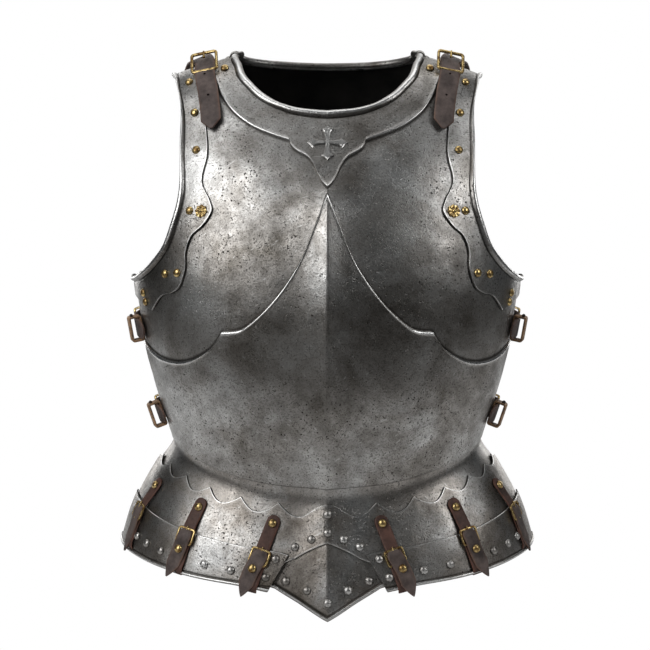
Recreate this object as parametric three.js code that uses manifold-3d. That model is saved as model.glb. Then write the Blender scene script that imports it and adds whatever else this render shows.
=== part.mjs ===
// A steel cuirass: a breastplate and a back plate buckled together, with arm bands riveted
// along the armholes and a fauld, a skirt of overlapping lames, below the waist. It stands on
// the lower edge of the fauld. Millimetres, +Z up, the front faces -Y.
//
// Every plate is a patch of one torso surface. A place on that surface is an angle round the
// body (0 at the front centre, 90 at the right-hand seam, 180 at the back) and a level.

import * as THREE from 'three';
import { mergeVertices } from 'three/addons/utils/BufferGeometryUtils.js';
import Module from 'manifold-3d';

const wasm = await Module();
wasm.setup();

// ---- driving dimensions ----

const PLATE = 1.6; // thickness of the steel
const CLEARANCE = 0.8; // gap between plates that overlap
const SEAM_GAP = 2; // gap where the back plate and the back lames tuck under the next plate
const CULET_SLACK = 0.6; // further gap between the back plate and the upper back lame
const RELIEF = 1.6; // height of the raised fields of the breastplate
const BEVEL = 1.6; // width of the slope at the edge of a raised field
const CROSS_HEIGHT = 1.6; // height of the cross over the neck band
const RIDGE = 5; // height of the medial ridge
const RIDGE_ANGLE = 11; // half the width of the medial ridge, in degrees
const RIDGE_TOP = 425; // level where the ridge has died out
const RIDGE_FULL = 385; // level where the ridge has its full height
const NECK_ROLL = 3.8; // radius of the rolled neck edge
const ARM_ROLL = 3.4; // radius of the rolled armhole edges
const SKIRT_ROLL = 2.4; // radius of the rolled lower edge of the fauld
const LEATHER = 2.4; // thickness of the straps
const FLOOR = 3.1; // level of the surface that the fauld stands on
const CENTRE_Y = -19.3; // middle of the depth of the whole object, at the torso's own axis
const SECTION_POWER = 2.25; // power of the superellipse of a horizontal section
const DROP_POWER = 1.7; // how fast the drop of the front dies out towards the sides

// Horizontal sections of the torso. The drop is how far the front centre hangs below the sides.
const SECTIONS = [
  { level: -30, half: 214, front: 156, back: 120, drop: 40 },
  { level: 43, half: 205, front: 150, back: 117, drop: 41 },
  { level: 92, half: 190, front: 138, back: 108, drop: 40 },
  { level: 128, half: 171, front: 125, back: 97, drop: 38 },
  { level: 152, half: 155, front: 118, back: 88, drop: 36 },
  { level: 170, half: 158, front: 124, back: 90, drop: 31 },
  { level: 205, half: 169, front: 137, back: 97, drop: 18 },
  { level: 240, half: 178, front: 146, back: 104, drop: 7 },
  { level: 290, half: 187, front: 150, back: 110, drop: 0 },
  { level: 335, half: 191, front: 146, back: 113, drop: 0 },
  { level: 385, half: 188, front: 132, back: 113, drop: 0 },
  { level: 430, half: 184, front: 111, back: 108, drop: 0 },
  { level: 465, half: 178, front: 88, back: 98, drop: 0 },
  { level: 490, half: 171, front: 71, back: 86, drop: 0 },
  { level: 505, half: 161, front: 59, back: 75, drop: 0 },
  { level: 515, half: 149, front: 50, back: 64, drop: 0 },
  { level: 525, half: 128, front: 38, back: 50, drop: 0 },
  { level: 534, half: 104, front: 25, back: 34, drop: 0 },
  { level: 540, half: 84, front: 12, back: 20, drop: 0 },
];

// Height of each layer of plate over the torso surface, at its outer face.
const LAYER = {
  chest: 0,
  armBand: PLATE + CLEARANCE,
  backPlate: -PLATE - SEAM_GAP,
  waist: -CLEARANCE,
  scalloped: PLATE,
  lower: 2 * PLATE + CLEARANCE,
  centre: -CLEARANCE,
  culetUpper: -2 * (PLATE + SEAM_GAP) - CULET_SLACK,
  culetLower: -PLATE - SEAM_GAP,
};

const FRONT_SEAM = 91; // angle of the side edges of the breastplate
const BACK_SEAM = 86; // angle where the back plate starts, tucked under the breastplate
const WAIST = 160; // level of the lower edge of breastplate and back plate
const FAULD_END = 90.5; // angle of the ends of the front lames
const CULET_END = 86.5; // angle of the ends of the back lames, tucked under the front ones

// Brass rivets on the right-hand side, by angle and level, with the layer that they sit on.
const BRASS_RIVETS = [
  { name: 'shoulder', angle: 54.6, level: 507, on: LAYER.armBand },
  { name: 'neck', angle: 43.4, level: 520.5, on: RELIEF },
  { name: 'upper', angle: 44, level: 479, on: LAYER.armBand },
  { name: 'middle', angle: 40.5, level: 444.5, on: LAYER.armBand },
  { name: 'beside_rosette', angle: 41, level: 389, on: LAYER.armBand },
  { name: 'underarm_outer', angle: 51, level: 329, on: LAYER.armBand },
  { name: 'underarm_inner', angle: 45.2, level: 331, on: LAYER.armBand },
  { name: 'side_upper', angle: 67, level: 307, on: LAYER.armBand },
  { name: 'side_lower', angle: 66, level: 298.5, on: LAYER.armBand },
];
const ROSETTE = { angle: 36.4, level: 389, on: LAYER.armBand };
const RIVET_RADIUS = 3.7;
const RIVET_HEIGHT = 2.2;
const REST = 0.35; // gap under a rivet, a strap or a buckle

// ---- the torso surface ----

function sectionValue(level, column) {
  let i = 0;
  while (i < SECTIONS.length - 2 && SECTIONS[i + 1].level < level) {
    i += 1;
  }
  const slope = (k) => {
    const before = SECTIONS[Math.max(k - 1, 0)];
    const after = SECTIONS[Math.min(k + 1, SECTIONS.length - 1)];
    return (after[column] - before[column]) / (after.level - before.level);
  };
  const from = SECTIONS[i];
  const to = SECTIONS[i + 1];
  const span = to.level - from.level;
  const s = (level - from.level) / span;
  const rise = to[column] - from[column];
  const bend = (slope(i) * span - rise) * (1 - s) - (slope(i + 1) * span - rise) * s;
  return from[column] + rise * s + s * (1 - s) * bend;
}

function bareTorso(angle, level) {
  const turn = THREE.MathUtils.degToRad(angle);
  const sine = Math.sin(turn);
  const cosine = Math.cos(turn);
  const power = 2 / SECTION_POWER;
  const half = sectionValue(level, 'half');
  const depth = sectionValue(level, cosine > 0 ? 'front' : 'back');
  const place = new THREE.Vector3(
    half * Math.sign(sine) * Math.abs(sine) ** power,
    -depth * Math.sign(cosine) * Math.abs(cosine) ** power,
    level,
  );
  if (cosine > 0) {
    place.z -= sectionValue(level, 'drop') * cosine ** DROP_POWER;
    const near = Math.max(0, 1 - Math.abs(angle) / RIDGE_ANGLE);
    place.y -= RIDGE * near ** 2 * THREE.MathUtils.smoothstep(-level, -RIDGE_TOP, -RIDGE_FULL);
  }
  place.y -= CENTRE_Y;
  place.z -= FLOOR;
  return place;
}

function torsoNormal(angle, level) {
  const round = bareTorso(angle + 0.6, level).sub(bareTorso(angle - 0.6, level));
  const up = bareTorso(angle, level + 1).sub(bareTorso(angle, level - 1));
  return round.cross(up).normalize();
}

function onTorso(angle, level, offset) {
  return bareTorso(angle, level).addScaledVector(torsoNormal(angle, level), offset);
}

// ---- curves on the surface, as lists of [angle, level] ----

// Points of smooth pieces that meet at corners; each piece gets its own number of steps.
function trace(pieces) {
  const points = [];
  for (const { through, steps } of pieces) {
    const curve = new THREE.SplineCurve(through.map(([x, y]) => new THREE.Vector2(x, y)));
    const first = points.length ? 1 : 0;
    for (let i = first; i <= steps; i += 1) {
      points.push(curve.getPoint(i / steps));
    }
  }
  return points;
}

// The right half of a curve that starts at the front centre, with its mirror image before it.
function bothSides(half) {
  const left = half.slice(1).reverse().map((p) => new THREE.Vector2(-p.x, p.y));
  return [...left, ...half];
}

// The same for a curve that ends at the back centre.
function roundBack(half) {
  const left = half.slice(0, -1).reverse().map((p) => new THREE.Vector2(360 - p.x, p.y));
  return [...half, ...left];
}

function between(low, high, share) {
  return low.map((p, i) => p.clone().lerp(high[i], share));
}

// ---- closed solids ----

// A wall between two grids of points: grid[row][column] holds its outer and inner point.
function wall(grid) {
  const rows = grid.length;
  const columns = grid[0].length;
  const positions = [];
  for (const row of grid) {
    for (const pair of row) {
      positions.push(...pair.outer.toArray(), ...pair.inner.toArray());
    }
  }
  const outer = (r, c) => 2 * (r * columns + c);
  const inner = (r, c) => outer(r, c) + 1;
  const faces = [];
  const quad = (a, b, c, d) => faces.push(a, b, c, a, c, d);
  for (let r = 0; r < rows - 1; r += 1) {
    for (let c = 0; c < columns - 1; c += 1) {
      if (c < (columns - 1) / 2) {
        quad(outer(r, c + 1), outer(r + 1, c + 1), outer(r + 1, c), outer(r, c));
        quad(inner(r + 1, c), inner(r + 1, c + 1), inner(r, c + 1), inner(r, c));
      } else {
        quad(outer(r, c), outer(r, c + 1), outer(r + 1, c + 1), outer(r + 1, c));
        quad(inner(r, c), inner(r + 1, c), inner(r + 1, c + 1), inner(r, c + 1));
      }
    }
    quad(outer(r, 0), outer(r + 1, 0), inner(r + 1, 0), inner(r, 0));
    const last = columns - 1;
    quad(outer(r, last), inner(r, last), inner(r + 1, last), outer(r + 1, last));
  }
  for (let c = 0; c < columns - 1; c += 1) {
    const top = rows - 1;
    quad(outer(0, c), inner(0, c), inner(0, c + 1), outer(0, c + 1));
    quad(outer(top, c), outer(top, c + 1), inner(top, c + 1), inner(top, c));
  }
  const geometry = new THREE.BufferGeometry();
  geometry.setAttribute('position', new THREE.Float32BufferAttribute(positions, 3));
  geometry.setIndex(faces);
  return facingOut(geometry);
}

function signedVolume(geometry) {
  const place = geometry.getAttribute('position');
  const corner = (k) => new THREE.Vector3().fromBufferAttribute(place, geometry.index.getX(k));
  let sum = 0;
  for (let k = 0; k < geometry.index.count; k += 3) {
    sum += corner(k).dot(corner(k + 1).cross(corner(k + 2))) / 6;
  }
  return sum;
}

function facingOut(geometry) {
  if (signedVolume(geometry) < 0) {
    const index = geometry.index;
    for (let k = 0; k < index.count; k += 3) {
      const swap = index.getX(k);
      index.setX(k, index.getX(k + 1));
      index.setX(k + 1, swap);
    }
  }
  return geometry;
}

// A plate whose rows are lists of [angle, level] points, each with the height of its outer face.
// Swell is what each point's wall is thicker by on both faces.
function plate(rows) {
  return wall(rows.map(({ points, height, thickness = PLATE, swell = [] }) => (
    points.map((p, i) => ({
      outer: onTorso(p.x, p.y, height + (swell[i] ?? 0)),
      inner: onTorso(p.x, p.y, height - thickness - (swell[i] ?? 0)),
    }))
  )));
}

// Rows at one height, from a lower line to an upper line.
function ruledRows(low, high, steps, height) {
  const rows = [];
  for (let r = 0; r <= steps; r += 1) {
    rows.push({ points: between(low, high, r / steps), height });
  }
  return rows;
}

// Moves each point of a line towards the next line by a distance, or away from it.
function shifted(line, next, distance) {
  return line.map((p, i) => {
    const length = bareTorso(p.x, p.y).distanceTo(bareTorso(next[i].x, next[i].y));
    return p.clone().lerp(next[i], Math.min(0.45, distance / length));
  });
}

// Rows that round an edge off in a roll, from the plate side outwards. The next line lies inside.
const ROLL_SECTION = [
  { reach: 0.9, half: 0.45 },
  { reach: 0.5, half: 0.87 },
  { reach: -0.5, half: 0.87 },
  { reach: -0.93, half: 0.4 },
];
function rollRows(line, next, radius, height) {
  return ROLL_SECTION.map(({ reach, half }) => ({
    points: shifted(line, next, reach * radius),
    height: height - PLATE / 2 + half * radius,
    thickness: 2 * half * radius,
  }));
}

function merged(geometry) {
  const plain = geometry.clone();
  plain.deleteAttribute('normal');
  plain.deleteAttribute('uv');
  return mergeVertices(plain, 1e-4);
}

function solid(geometry) {
  return new wasm.Manifold(new wasm.Mesh({
    numProp: 3,
    vertProperties: new Float32Array(geometry.getAttribute('position').array),
    triVerts: new Uint32Array(geometry.index.array),
  }));
}

function joined(...geometries) {
  let sum = solid(geometries[0]);
  for (const geometry of geometries.slice(1)) {
    sum = sum.add(solid(geometry));
  }
  const { vertProperties, triVerts } = sum.getMesh();
  const geometry = new THREE.BufferGeometry();
  geometry.setAttribute('position', new THREE.BufferAttribute(vertProperties, 3));
  geometry.setIndex(new THREE.BufferAttribute(triVerts, 1));
  return geometry;
}

function mirrored(geometry) {
  return facingOut(geometry.clone().scale(-1, 1, 1));
}

// ---- breastplate ----

const HALF_COLUMNS = 13; // columns of facets on each half of the breastplate

const waistLine = trace([{ through: [[0, WAIST], [FRONT_SEAM, WAIST]], steps: HALF_COLUMNS }]);

// Upper edge of the raised plackart field: a tall ogee, a cusp, then a shallow hollow.
const plackartLine = trace([
  { through: [[0, 406], [1.8, 384], [6.2, 343], [13.4, 307], [22, 283.5], [29.3, 279]], steps: 8 },
  { through: [[29.3, 279], [35, 262], [46, 249], [60, 246.5], [75, 253], [FRONT_SEAM, 262]], steps: 5 },
]);

// Lower edge of the neck band: the pendant under the cross, then the band up to the shoulder.
const neckBandLine = trace([
  { through: [[0, 412], [2, 425.4], [4.6, 440.5], [8.5, 448], [9.4, 455]], steps: 4 },
  { through: [[9.4, 455], [20, 466.5], [28, 480], [35, 497], [43, 512], [60, 524.5]], steps: 9 },
]);

const neckLine = trace([
  {
    through: [[0, 479], [7, 481.5], [13, 486.5], [19, 494.5], [27, 508.5], [38, 523], [53, 532]],
    steps: HALF_COLUMNS,
  },
]);

// Right-hand edge of the chest field: side, armhole, then the top of the shoulder.
const chestEdge = trace([
  { through: [[FRONT_SEAM, 262], [FRONT_SEAM, 303]], steps: 2 },
  {
    through: [
      [FRONT_SEAM, 303], [78, 307], [63, 317], [53, 335], [46, 356], [42.5, 384],
      [41.5, 418], [43, 452], [48, 483], [56, 500], [63, 511], [70, 516],
    ],
    steps: 9,
  },
  { through: [[70, 516], [60, 524.5]], steps: 1 },
]);

// Rows of the chest field blend from the plackart line to the neck band line, and their ends
// follow the armhole.
function chestRow(step) {
  const share = step / (chestEdge.length - 1);
  const row = between(plackartLine, neckBandLine, share);
  const pull = chestEdge[step].clone().sub(row[row.length - 1]);
  return row.map((p, i) => p.addScaledVector(pull, (i / HALF_COLUMNS) ** 2));
}

function crossGeometry() {
  const tip = 19;
  const waist = 2.2;
  const lobe = 5.6;
  const centreLevel = 452.5;
  const sunk = 0.8; // depth to which the cross is let into the band
  const bend = 0.0015; // how fast the arms of the cross follow the round of the chest
  const corners = [
    [waist, waist],
    [waist + 0.6, tip - 8],
    [lobe, tip - 5.5],
    [waist, tip - 3.5],
    [0, tip],
  ];
  const shape = new THREE.Shape();
  for (let arm = 0; arm < 4; arm += 1) {
    const mirrorSide = corners.slice(0, -1).reverse().map(([x, y]) => [-x, y]).slice(0, -1);
    for (const [x, y] of [...corners, ...mirrorSide]) {
      const turned = new THREE.Vector2(x, y).rotateAround(new THREE.Vector2(), (arm * Math.PI) / 2);
      if (shape.curves.length || shape.currentPoint.length()) {
        shape.lineTo(turned.x, turned.y);
      } else {
        shape.moveTo(turned.x, turned.y);
      }
    }
  }
  shape.closePath();
  const geometry = merged(new THREE.ExtrudeGeometry(shape, { depth: 1, bevelEnabled: false }));
  const place = geometry.getAttribute('position');
  const centre = onTorso(0, centreLevel, RELIEF);
  const outward = torsoNormal(0, centreLevel);
  const upward = new THREE.Vector3(1, 0, 0).cross(outward).negate();
  for (let k = 0; k < place.count; k += 1) {
    const x = place.getX(k);
    const bow = x * x * bend;
    const height = place.getZ(k) ? CROSS_HEIGHT : -sunk;
    const point = centre.clone()
      .addScaledVector(new THREE.Vector3(1, 0, 0), x)
      .addScaledVector(upward, place.getY(k))
      .addScaledVector(outward, height - bow);
    place.setXYZ(k, ...point.toArray());
  }
  return facingOut(geometry);
}

function breastplateGeometry() {
  const chestSteps = chestEdge.length - 1;
  const rows = ruledRows(waistLine, plackartLine, 4, RELIEF);
  rows.push({ points: shifted(plackartLine, chestRow(1), BEVEL), height: LAYER.chest });
  for (let r = 1; r < chestSteps; r += 1) {
    rows.push({ points: chestRow(r), height: LAYER.chest });
  }
  const bandFoot = shifted(neckBandLine, chestRow(chestSteps - 1), BEVEL);
  rows.push({ points: bandFoot, height: LAYER.chest });
  rows.push({ points: neckBandLine, height: RELIEF });
  rows.push(...rollRows(neckLine, neckBandLine, NECK_ROLL, RELIEF));
  return joined(
    plate(rows.map((row) => ({ ...row, points: bothSides(row.points) }))),
    crossGeometry(),
  );
}

// ---- arm bands ----

function armBandGeometry() {
  const outerEdge = trace([
    {
      through: [
        [78, 513.5], [64, 507], [52, 487], [47.5, 450], [45.4, 417], [45.7, 396], [48, 375],
        [51, 356], [55.5, 343], [62, 331], [70, 322.5], [79, 317.5], [88, 315.5],
      ],
      steps: 20,
    },
  ]);
  // Two shallow hollows, a round lobe at the rosette, then the pointed lower end.
  const innerEdge = trace([
    {
      through: [
        [66, 521], [50, 508], [41, 488], [37.3, 461.5], [35.8, 441], [37, 417], [33.6, 400],
        [32.6, 389], [35.6, 376], [39.6, 366], [41.6, 351], [41.8, 334], [44.5, 318],
        [48.4, 311], [54, 307], [61.7, 291],
      ],
      steps: 17,
    },
    { through: [[61.7, 291], [74, 297], [88, 301]], steps: 3 },
  ]);
  const rows = ruledRows(innerEdge, between(innerEdge, outerEdge, 0.7), 2, LAYER.armBand);
  return plate([...rows, ...rollRows(outerEdge, innerEdge, ARM_ROLL, LAYER.armBand)]);
}

// ---- back plate ----

const BACK_COLUMNS = 10; // columns of facets on each half of the back plate

function backPlateGeometry() {
  const height = LAYER.backPlate;
  const waist = trace([{ through: [[BACK_SEAM, WAIST], [180, WAIST]], steps: BACK_COLUMNS }]);
  const neck = trace([
    {
      through: [[61, 534.2], [75, 538], [92, 539], [112, 537], [135, 532], [158, 527], [180, 525]],
      steps: BACK_COLUMNS,
    },
  ]);
  const sideSteps = 5;
  const armholeSteps = 8;
  const edge = trace([
    { through: [[BACK_SEAM, WAIST], [BACK_SEAM, 308], [94, 310]], steps: sideSteps },
    {
      through: [
        [94, 310], [102, 314], [113, 322], [124, 336], [131.5, 356], [136, 385],
        [136.5, 420], [133.5, 455], [126.5, 487], [113, 505], [99, 512],
      ],
      steps: armholeSteps,
    },
    { through: [[99, 512], [78, 511.5], [64, 511], [57, 517], [58, 526], [61, 534.2]], steps: 3 },
  ]);
  const last = edge.length - 1;
  const inArmhole = (r) => r > sideSteps && r <= sideSteps + armholeSteps;
  const lines = edge.map((end, r) => {
    const points = between(waist, neck, r / last);
    const pull = end.clone().sub(points[0]);
    return points.map((p, i) => p.addScaledVector(pull, (1 - i / BACK_COLUMNS) ** 2));
  });
  const rows = lines.slice(0, -1).map((points) => ({ points, height }));
  rows.push(...rollRows(lines[last], lines[last - 1], NECK_ROLL, height));
  // The armhole edge is rolled in the same way, across the rows.
  return plate(rows.map(({ points, ...row }, r) => {
    const rolled = [...ROLL_SECTION].reverse();
    const ends = rolled.map(({ reach }) => shifted([points[0]], [points[1]], reach * ARM_ROLL)[0]);
    const swell = rolled.map(({ half }) => (inArmhole(r) ? half * ARM_ROLL - PLATE / 2 : 0));
    const flat = new Array(2 * BACK_COLUMNS - 1).fill(0);
    return {
      ...row,
      points: roundBack([...ends, ...points.slice(1)]),
      swell: [...swell, ...flat, ...[...swell].reverse()],
    };
  }));
}

// ---- fauld ----

function waistLameGeometry() {
  const low = trace([
    { through: [[0, 128], [26, 127], [45, 118], [FAULD_END, 116]], steps: 12 },
  ]);
  const high = trace([{ through: [[0, WAIST + 12], [FAULD_END, WAIST + 12]], steps: 12 }]);
  return plate(ruledRows(bothSides(low), bothSides(high), 4, LAYER.waist));
}

// The upper edge is cut in hollows that meet in points; the middle point is rounded off.
const SCALLOP_HALF = 7.7; // angle from the front centre to the first valley
const SCALLOP_STEP = 13.85; // angle from point to point
function scallopLevel(angle) {
  const valley = 135.5 - angle * 0.02;
  const point = 147 - angle * 0.1;
  if (angle < SCALLOP_HALF) {
    return valley + (point - valley) * (1 + Math.cos((Math.PI * angle) / SCALLOP_HALF)) / 2;
  }
  const along = (angle - SCALLOP_HALF) / SCALLOP_STEP + 0.5;
  return point - (point - valley) * Math.sin(Math.PI * (along % 1));
}

function scallopedLameGeometry() {
  const columns = 24;
  const angles = [];
  for (let i = 0; i <= columns; i += 1) {
    const first = SCALLOP_HALF / 2;
    angles.push(i < 2 ? i * first : SCALLOP_HALF + ((i - 2) * SCALLOP_STEP) / 4);
  }
  const used = angles.filter((angle) => angle < FAULD_END);
  const high = used.map((angle) => new THREE.Vector2(angle, scallopLevel(angle)));
  const notch = [[0, 114], [5.3, 104.5], [7.7, 99], [14, 90], [26, 87], [FAULD_END, 86]];
  const low = used.map((angle) => {
    const k = notch.findIndex(([end]) => end > angle);
    const [from, to] = [notch[k - 1], notch[k]];
    const share = (angle - from[0]) / (to[0] - from[0]);
    return new THREE.Vector2(angle, from[1] + (to[1] - from[1]) * share);
  });
  return plate(ruledRows(bothSides(low), bothSides(high), 3, LAYER.scalloped));
}

function lowerLameGeometry() {
  const steps = 11;
  const high = trace([
    { through: [[9.3, 102], [14, 104], [31, 103.5], [48, 101], [69, 98.5], [FAULD_END, 97]], steps },
  ]);
  const low = trace([
    { through: [[13.9, 69.5], [24, 70.5], [43, 65], [60, 59.5], [78, 53.5], [FAULD_END, 52]], steps },
  ]);
  const roll = rollRows(low, high, SKIRT_ROLL, LAYER.lower).reverse();
  return plate([...roll, ...ruledRows(between(low, high, 0.4), high, 2, LAYER.lower)]);
}

function centrePlateGeometry() {
  const low = trace([
    { through: [[0, 46.7], [5.8, 61.3], [12.4, 73.5]], steps: 5 },
    { through: [[12.4, 73.5], [16, 76]], steps: 1 },
  ]);
  const high = trace([{ through: [[0, 122], [16, 118]], steps: 6 }]);
  const roll = rollRows(low, high, SKIRT_ROLL, LAYER.centre).reverse();
  const rows = [...roll, ...ruledRows(between(low, high, 0.4), high, 2, LAYER.centre)];
  return plate(rows.map((row) => ({ ...row, points: bothSides(row.points) })));
}

function upperCuletGeometry() {
  const low = trace([{ through: [[CULET_END, 98], [180, 98]], steps: 10 }]);
  const high = trace([{ through: [[CULET_END, WAIST + 9], [180, WAIST + 9]], steps: 10 }]);
  return plate(ruledRows(roundBack(low), roundBack(high), 4, LAYER.culetUpper));
}

const CULET_LEVEL_ANGLE = 132; // beyond this angle the lower edge of the culet is level
const HEM_HEIGHT = 5;
const HEM_THICKNESS = 4;

// The lower back lame has a thickened hem, flat underneath, on which the cuirass stands.
function lowerCuletGeometry() {
  const low = trace([
    { through: [[CULET_END, 53], [104, 30], [119, 10], [CULET_LEVEL_ANGLE, FLOOR]], steps: 6 },
    { through: [[CULET_LEVEL_ANGLE, FLOOR], [180, FLOOR]], steps: 5 },
  ]);
  const high = trace([{ through: [[CULET_END, 112], [180, 112]], steps: 11 }]);
  const hemLow = low.map((p) => p.clone().add(new THREE.Vector2(0, HEM_HEIGHT)));
  const hemHigh = low.map((p) => p.clone().add(new THREE.Vector2(0, HEM_HEIGHT + 2)));
  const rows = [low, hemLow, hemHigh, between(hemHigh, high, 0.35), between(hemHigh, high, 0.7), high];
  return wall(rows.map((points, r) => roundBack(points).map((p) => {
    const thick = r < 2 ? HEM_THICKNESS : PLATE;
    const pair = {
      outer: onTorso(p.x, p.y, LAYER.culetLower + thick - PLATE),
      inner: onTorso(p.x, p.y, LAYER.culetLower - PLATE),
    };
    if (r === 0) {
      pair.outer.z = p.y - FLOOR;
      pair.inner.z = p.y - FLOOR;
    }
    return pair;
  })));
}

// ---- leather straps ----

// A strap follows [angle, level, height of its underside]; it has a rounded start and a point.
function strapGeometry({ path, width, steps, pointed }) {
  const route = new THREE.CatmullRomCurve3(path.map((p) => new THREE.Vector3(...p)));
  const rows = [];
  for (let i = 0; i <= steps; i += 1) {
    rows.push(i / steps);
  }
  const grid = rows.map((share) => {
    const { place, across, outward } = strapFrame(route, share);
    const fromStart = share * steps;
    const fromEnd = (1 - share) * steps;
    const round = Math.min(1, 0.55 + 0.45 * fromStart);
    const taper = pointed ? Math.min(1, 0.2 + 0.8 * fromEnd) : Math.min(1, 0.55 + 0.45 * fromEnd);
    const reach = (width / 2) * round * taper;
    return [-1, 1].map((side) => {
      const inner = place.clone().addScaledVector(across, side * reach);
      return { inner, outer: inner.clone().addScaledVector(outward, LEATHER) };
    });
  });
  return wall(grid);
}

function strapFrame(route, share) {
  const here = route.getPoint(share);
  const ahead = route.getPoint(Math.min(1, share + 0.01));
  const behind = route.getPoint(Math.max(0, share - 0.01));
  const place = onTorso(here.x, here.y, here.z);
  const along = onTorso(ahead.x, ahead.y, ahead.z)
    .sub(onTorso(behind.x, behind.y, behind.z))
    .normalize();
  const across = along.clone().cross(torsoNormal(here.x, here.y)).normalize();
  const outward = across.clone().cross(along).normalize();
  return { place, along, across, outward };
}

// Straps on the right-hand side. The buckle lies at a share of the strap's length.
const STRAPS = [
  {
    name: 'shoulder_strap', width: 20, steps: 10, pointed: true, buckleAt: 0.46,
    path: [
      [128, 508, 0.5], [108, 522, 3.4], [84, 528, 5], [68, 527, 9], [57, 522.5, 7],
      [47, 512, 4.6], [40.5, 498, 4.4], [37, 482, 4.4], [35, 463.5, 4.6],
    ],
    buckle: { wide: 27, long: 21 },
  },
  {
    name: 'side_strap_upper', width: 20, steps: 8, pointed: false, buckleAt: 0.62, keeperAt: 0.2,
    path: [[74, 268, 1.6], [82, 269, 5.2], [92, 270, 4], [104, 270, 2.4], [118, 270, 0.6]],
    buckle: { wide: 27, long: 20 },
  },
  {
    name: 'side_strap_lower', width: 20, steps: 8, pointed: false, buckleAt: 0.62, keeperAt: 0.2,
    path: [[74, 186, 2.6], [82, 185, 6.6], [92, 184, 5], [104, 183, 2.6], [118, 183, 0.6]],
    buckle: { wide: 27, long: 20 },
  },
  {
    name: 'fauld_strap_inner', width: 14.5, steps: 7, pointed: true, buckleAt: 0.5,
    path: [[14.6, 134, 2.2], [16, 119, 2.8], [17.4, 103, 5], [19.4, 86, 5.4], [22, 61, 6.6]],
    buckle: { wide: 21, long: 17 },
  },
  {
    name: 'fauld_strap_middle', width: 14.5, steps: 7, pointed: true, buckleAt: 0.47,
    path: [[43.6, 132, 2.2], [44.4, 118, 2.8], [45.1, 103, 5], [46, 85, 5.4], [48.8, 57, 6.6]],
    buckle: { wide: 21, long: 17 },
  },
  {
    name: 'fauld_strap_outer', width: 14.5, steps: 7, pointed: true, buckleAt: 0.45,
    path: [[71.4, 126, 2.2], [73.6, 113, 2.8], [75.3, 98, 5], [76.6, 78, 5.4], [78.2, 50.5, 6.6]],
    buckle: { wide: 21, long: 17 },
  },
];

// A rounded rectangular frame with its tongue across it, lying in the XY plane.
function buckleGeometry({ wide, long }) {
  const bar = 2.4;
  const outline = (w, l, corner) => {
    const points = [];
    for (const [sx, sy] of [[1, 1], [-1, 1], [-1, -1], [1, -1]]) {
      const ends = [[w - corner, l], [w, l - corner]];
      for (const [x, y] of sx * sy > 0 ? ends.reverse() : ends) {
        points.push(new THREE.Vector2(sx * x, sy * y));
      }
    }
    return points;
  };
  const shape = new THREE.Shape(outline(wide / 2, long / 2, 4));
  shape.holes.push(new THREE.Path(outline(wide / 2 - bar, long / 2 - bar, 2.5)));
  const frame = merged(new THREE.ExtrudeGeometry(shape, { depth: bar, bevelEnabled: false }));
  const tongue = new THREE.BoxGeometry(2.2, long - bar + 1.4, 1.8);
  tongue.translate(0, 0.8, bar + 0.3);
  return joined(frame, merged(tongue));
}

// A loop of leather that the side strap runs through, standing off the plate.
const KEEPER = { tall: 26, deep: 13, length: 11, wall: 2.2, slack: 1.3 };
function keeperGeometry() {
  const block = (w, h) => [[w, 0], [w, h], [-w, h], [-w, 0]].map(([x, y]) => new THREE.Vector2(x, y));
  const inside = block(KEEPER.tall / 2 - KEEPER.wall, KEEPER.deep - 2 * KEEPER.wall);
  const shape = new THREE.Shape(block(KEEPER.tall / 2, KEEPER.deep));
  shape.holes.push(new THREE.Path(inside.map((p) => p.add(new THREE.Vector2(0, KEEPER.wall)))));
  const loop = new THREE.ExtrudeGeometry(shape, { depth: KEEPER.length, bevelEnabled: false });
  return merged(loop.translate(0, 0, -KEEPER.length / 2).rotateX(Math.PI / 2));
}

// ---- rivets ----

function rivetGeometry() {
  const profile = [
    [0, 0],
    [RIVET_RADIUS, 0],
    [RIVET_RADIUS * 0.72, RIVET_HEIGHT * 0.72],
    [0, RIVET_HEIGHT],
  ].map(([x, y]) => new THREE.Vector2(x, y));
  return facingOut(merged(new THREE.LatheGeometry(profile, 6).rotateX(Math.PI / 2)));
}

function rosetteGeometry() {
  const petals = 8;
  const shape = new THREE.Shape();
  for (let i = 0; i <= 2 * petals; i += 1) {
    const turn = (i * Math.PI) / petals;
    const reach = i % 2 ? 4.4 : 5.6;
    const [x, y] = [reach * Math.cos(turn), reach * Math.sin(turn)];
    if (i) {
      shape.lineTo(x, y);
    } else {
      shape.moveTo(x, y);
    }
  }
  const flower = merged(new THREE.ExtrudeGeometry(shape, { depth: 1.6, bevelEnabled: false }));
  const heart = rivetGeometry().scale(0.5, 0.5, 0.8).translate(0, 0, 1.2);
  return joined(flower, heart);
}

// ---- materials and the assembly ----

const STEEL = { color: 0x86837e, metalness: 0.9, roughness: 0.42 };
const LEATHER_LOOK = { color: 0x3c2820, metalness: 0, roughness: 0.6 };
const BRASS = { color: 0xb3924e, metalness: 0.9, roughness: 0.35 };

const cuirass = new THREE.Group();

function addPiece(name, geometry, look) {
  const mesh = new THREE.Mesh(geometry, new THREE.MeshStandardMaterial(look));
  mesh.name = name;
  cuirass.add(mesh);
  return mesh;
}

function addPair(name, geometry, look) {
  addPiece(`${name}_right`, geometry, look);
  addPiece(`${name}_left`, mirrored(geometry), look);
}

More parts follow.
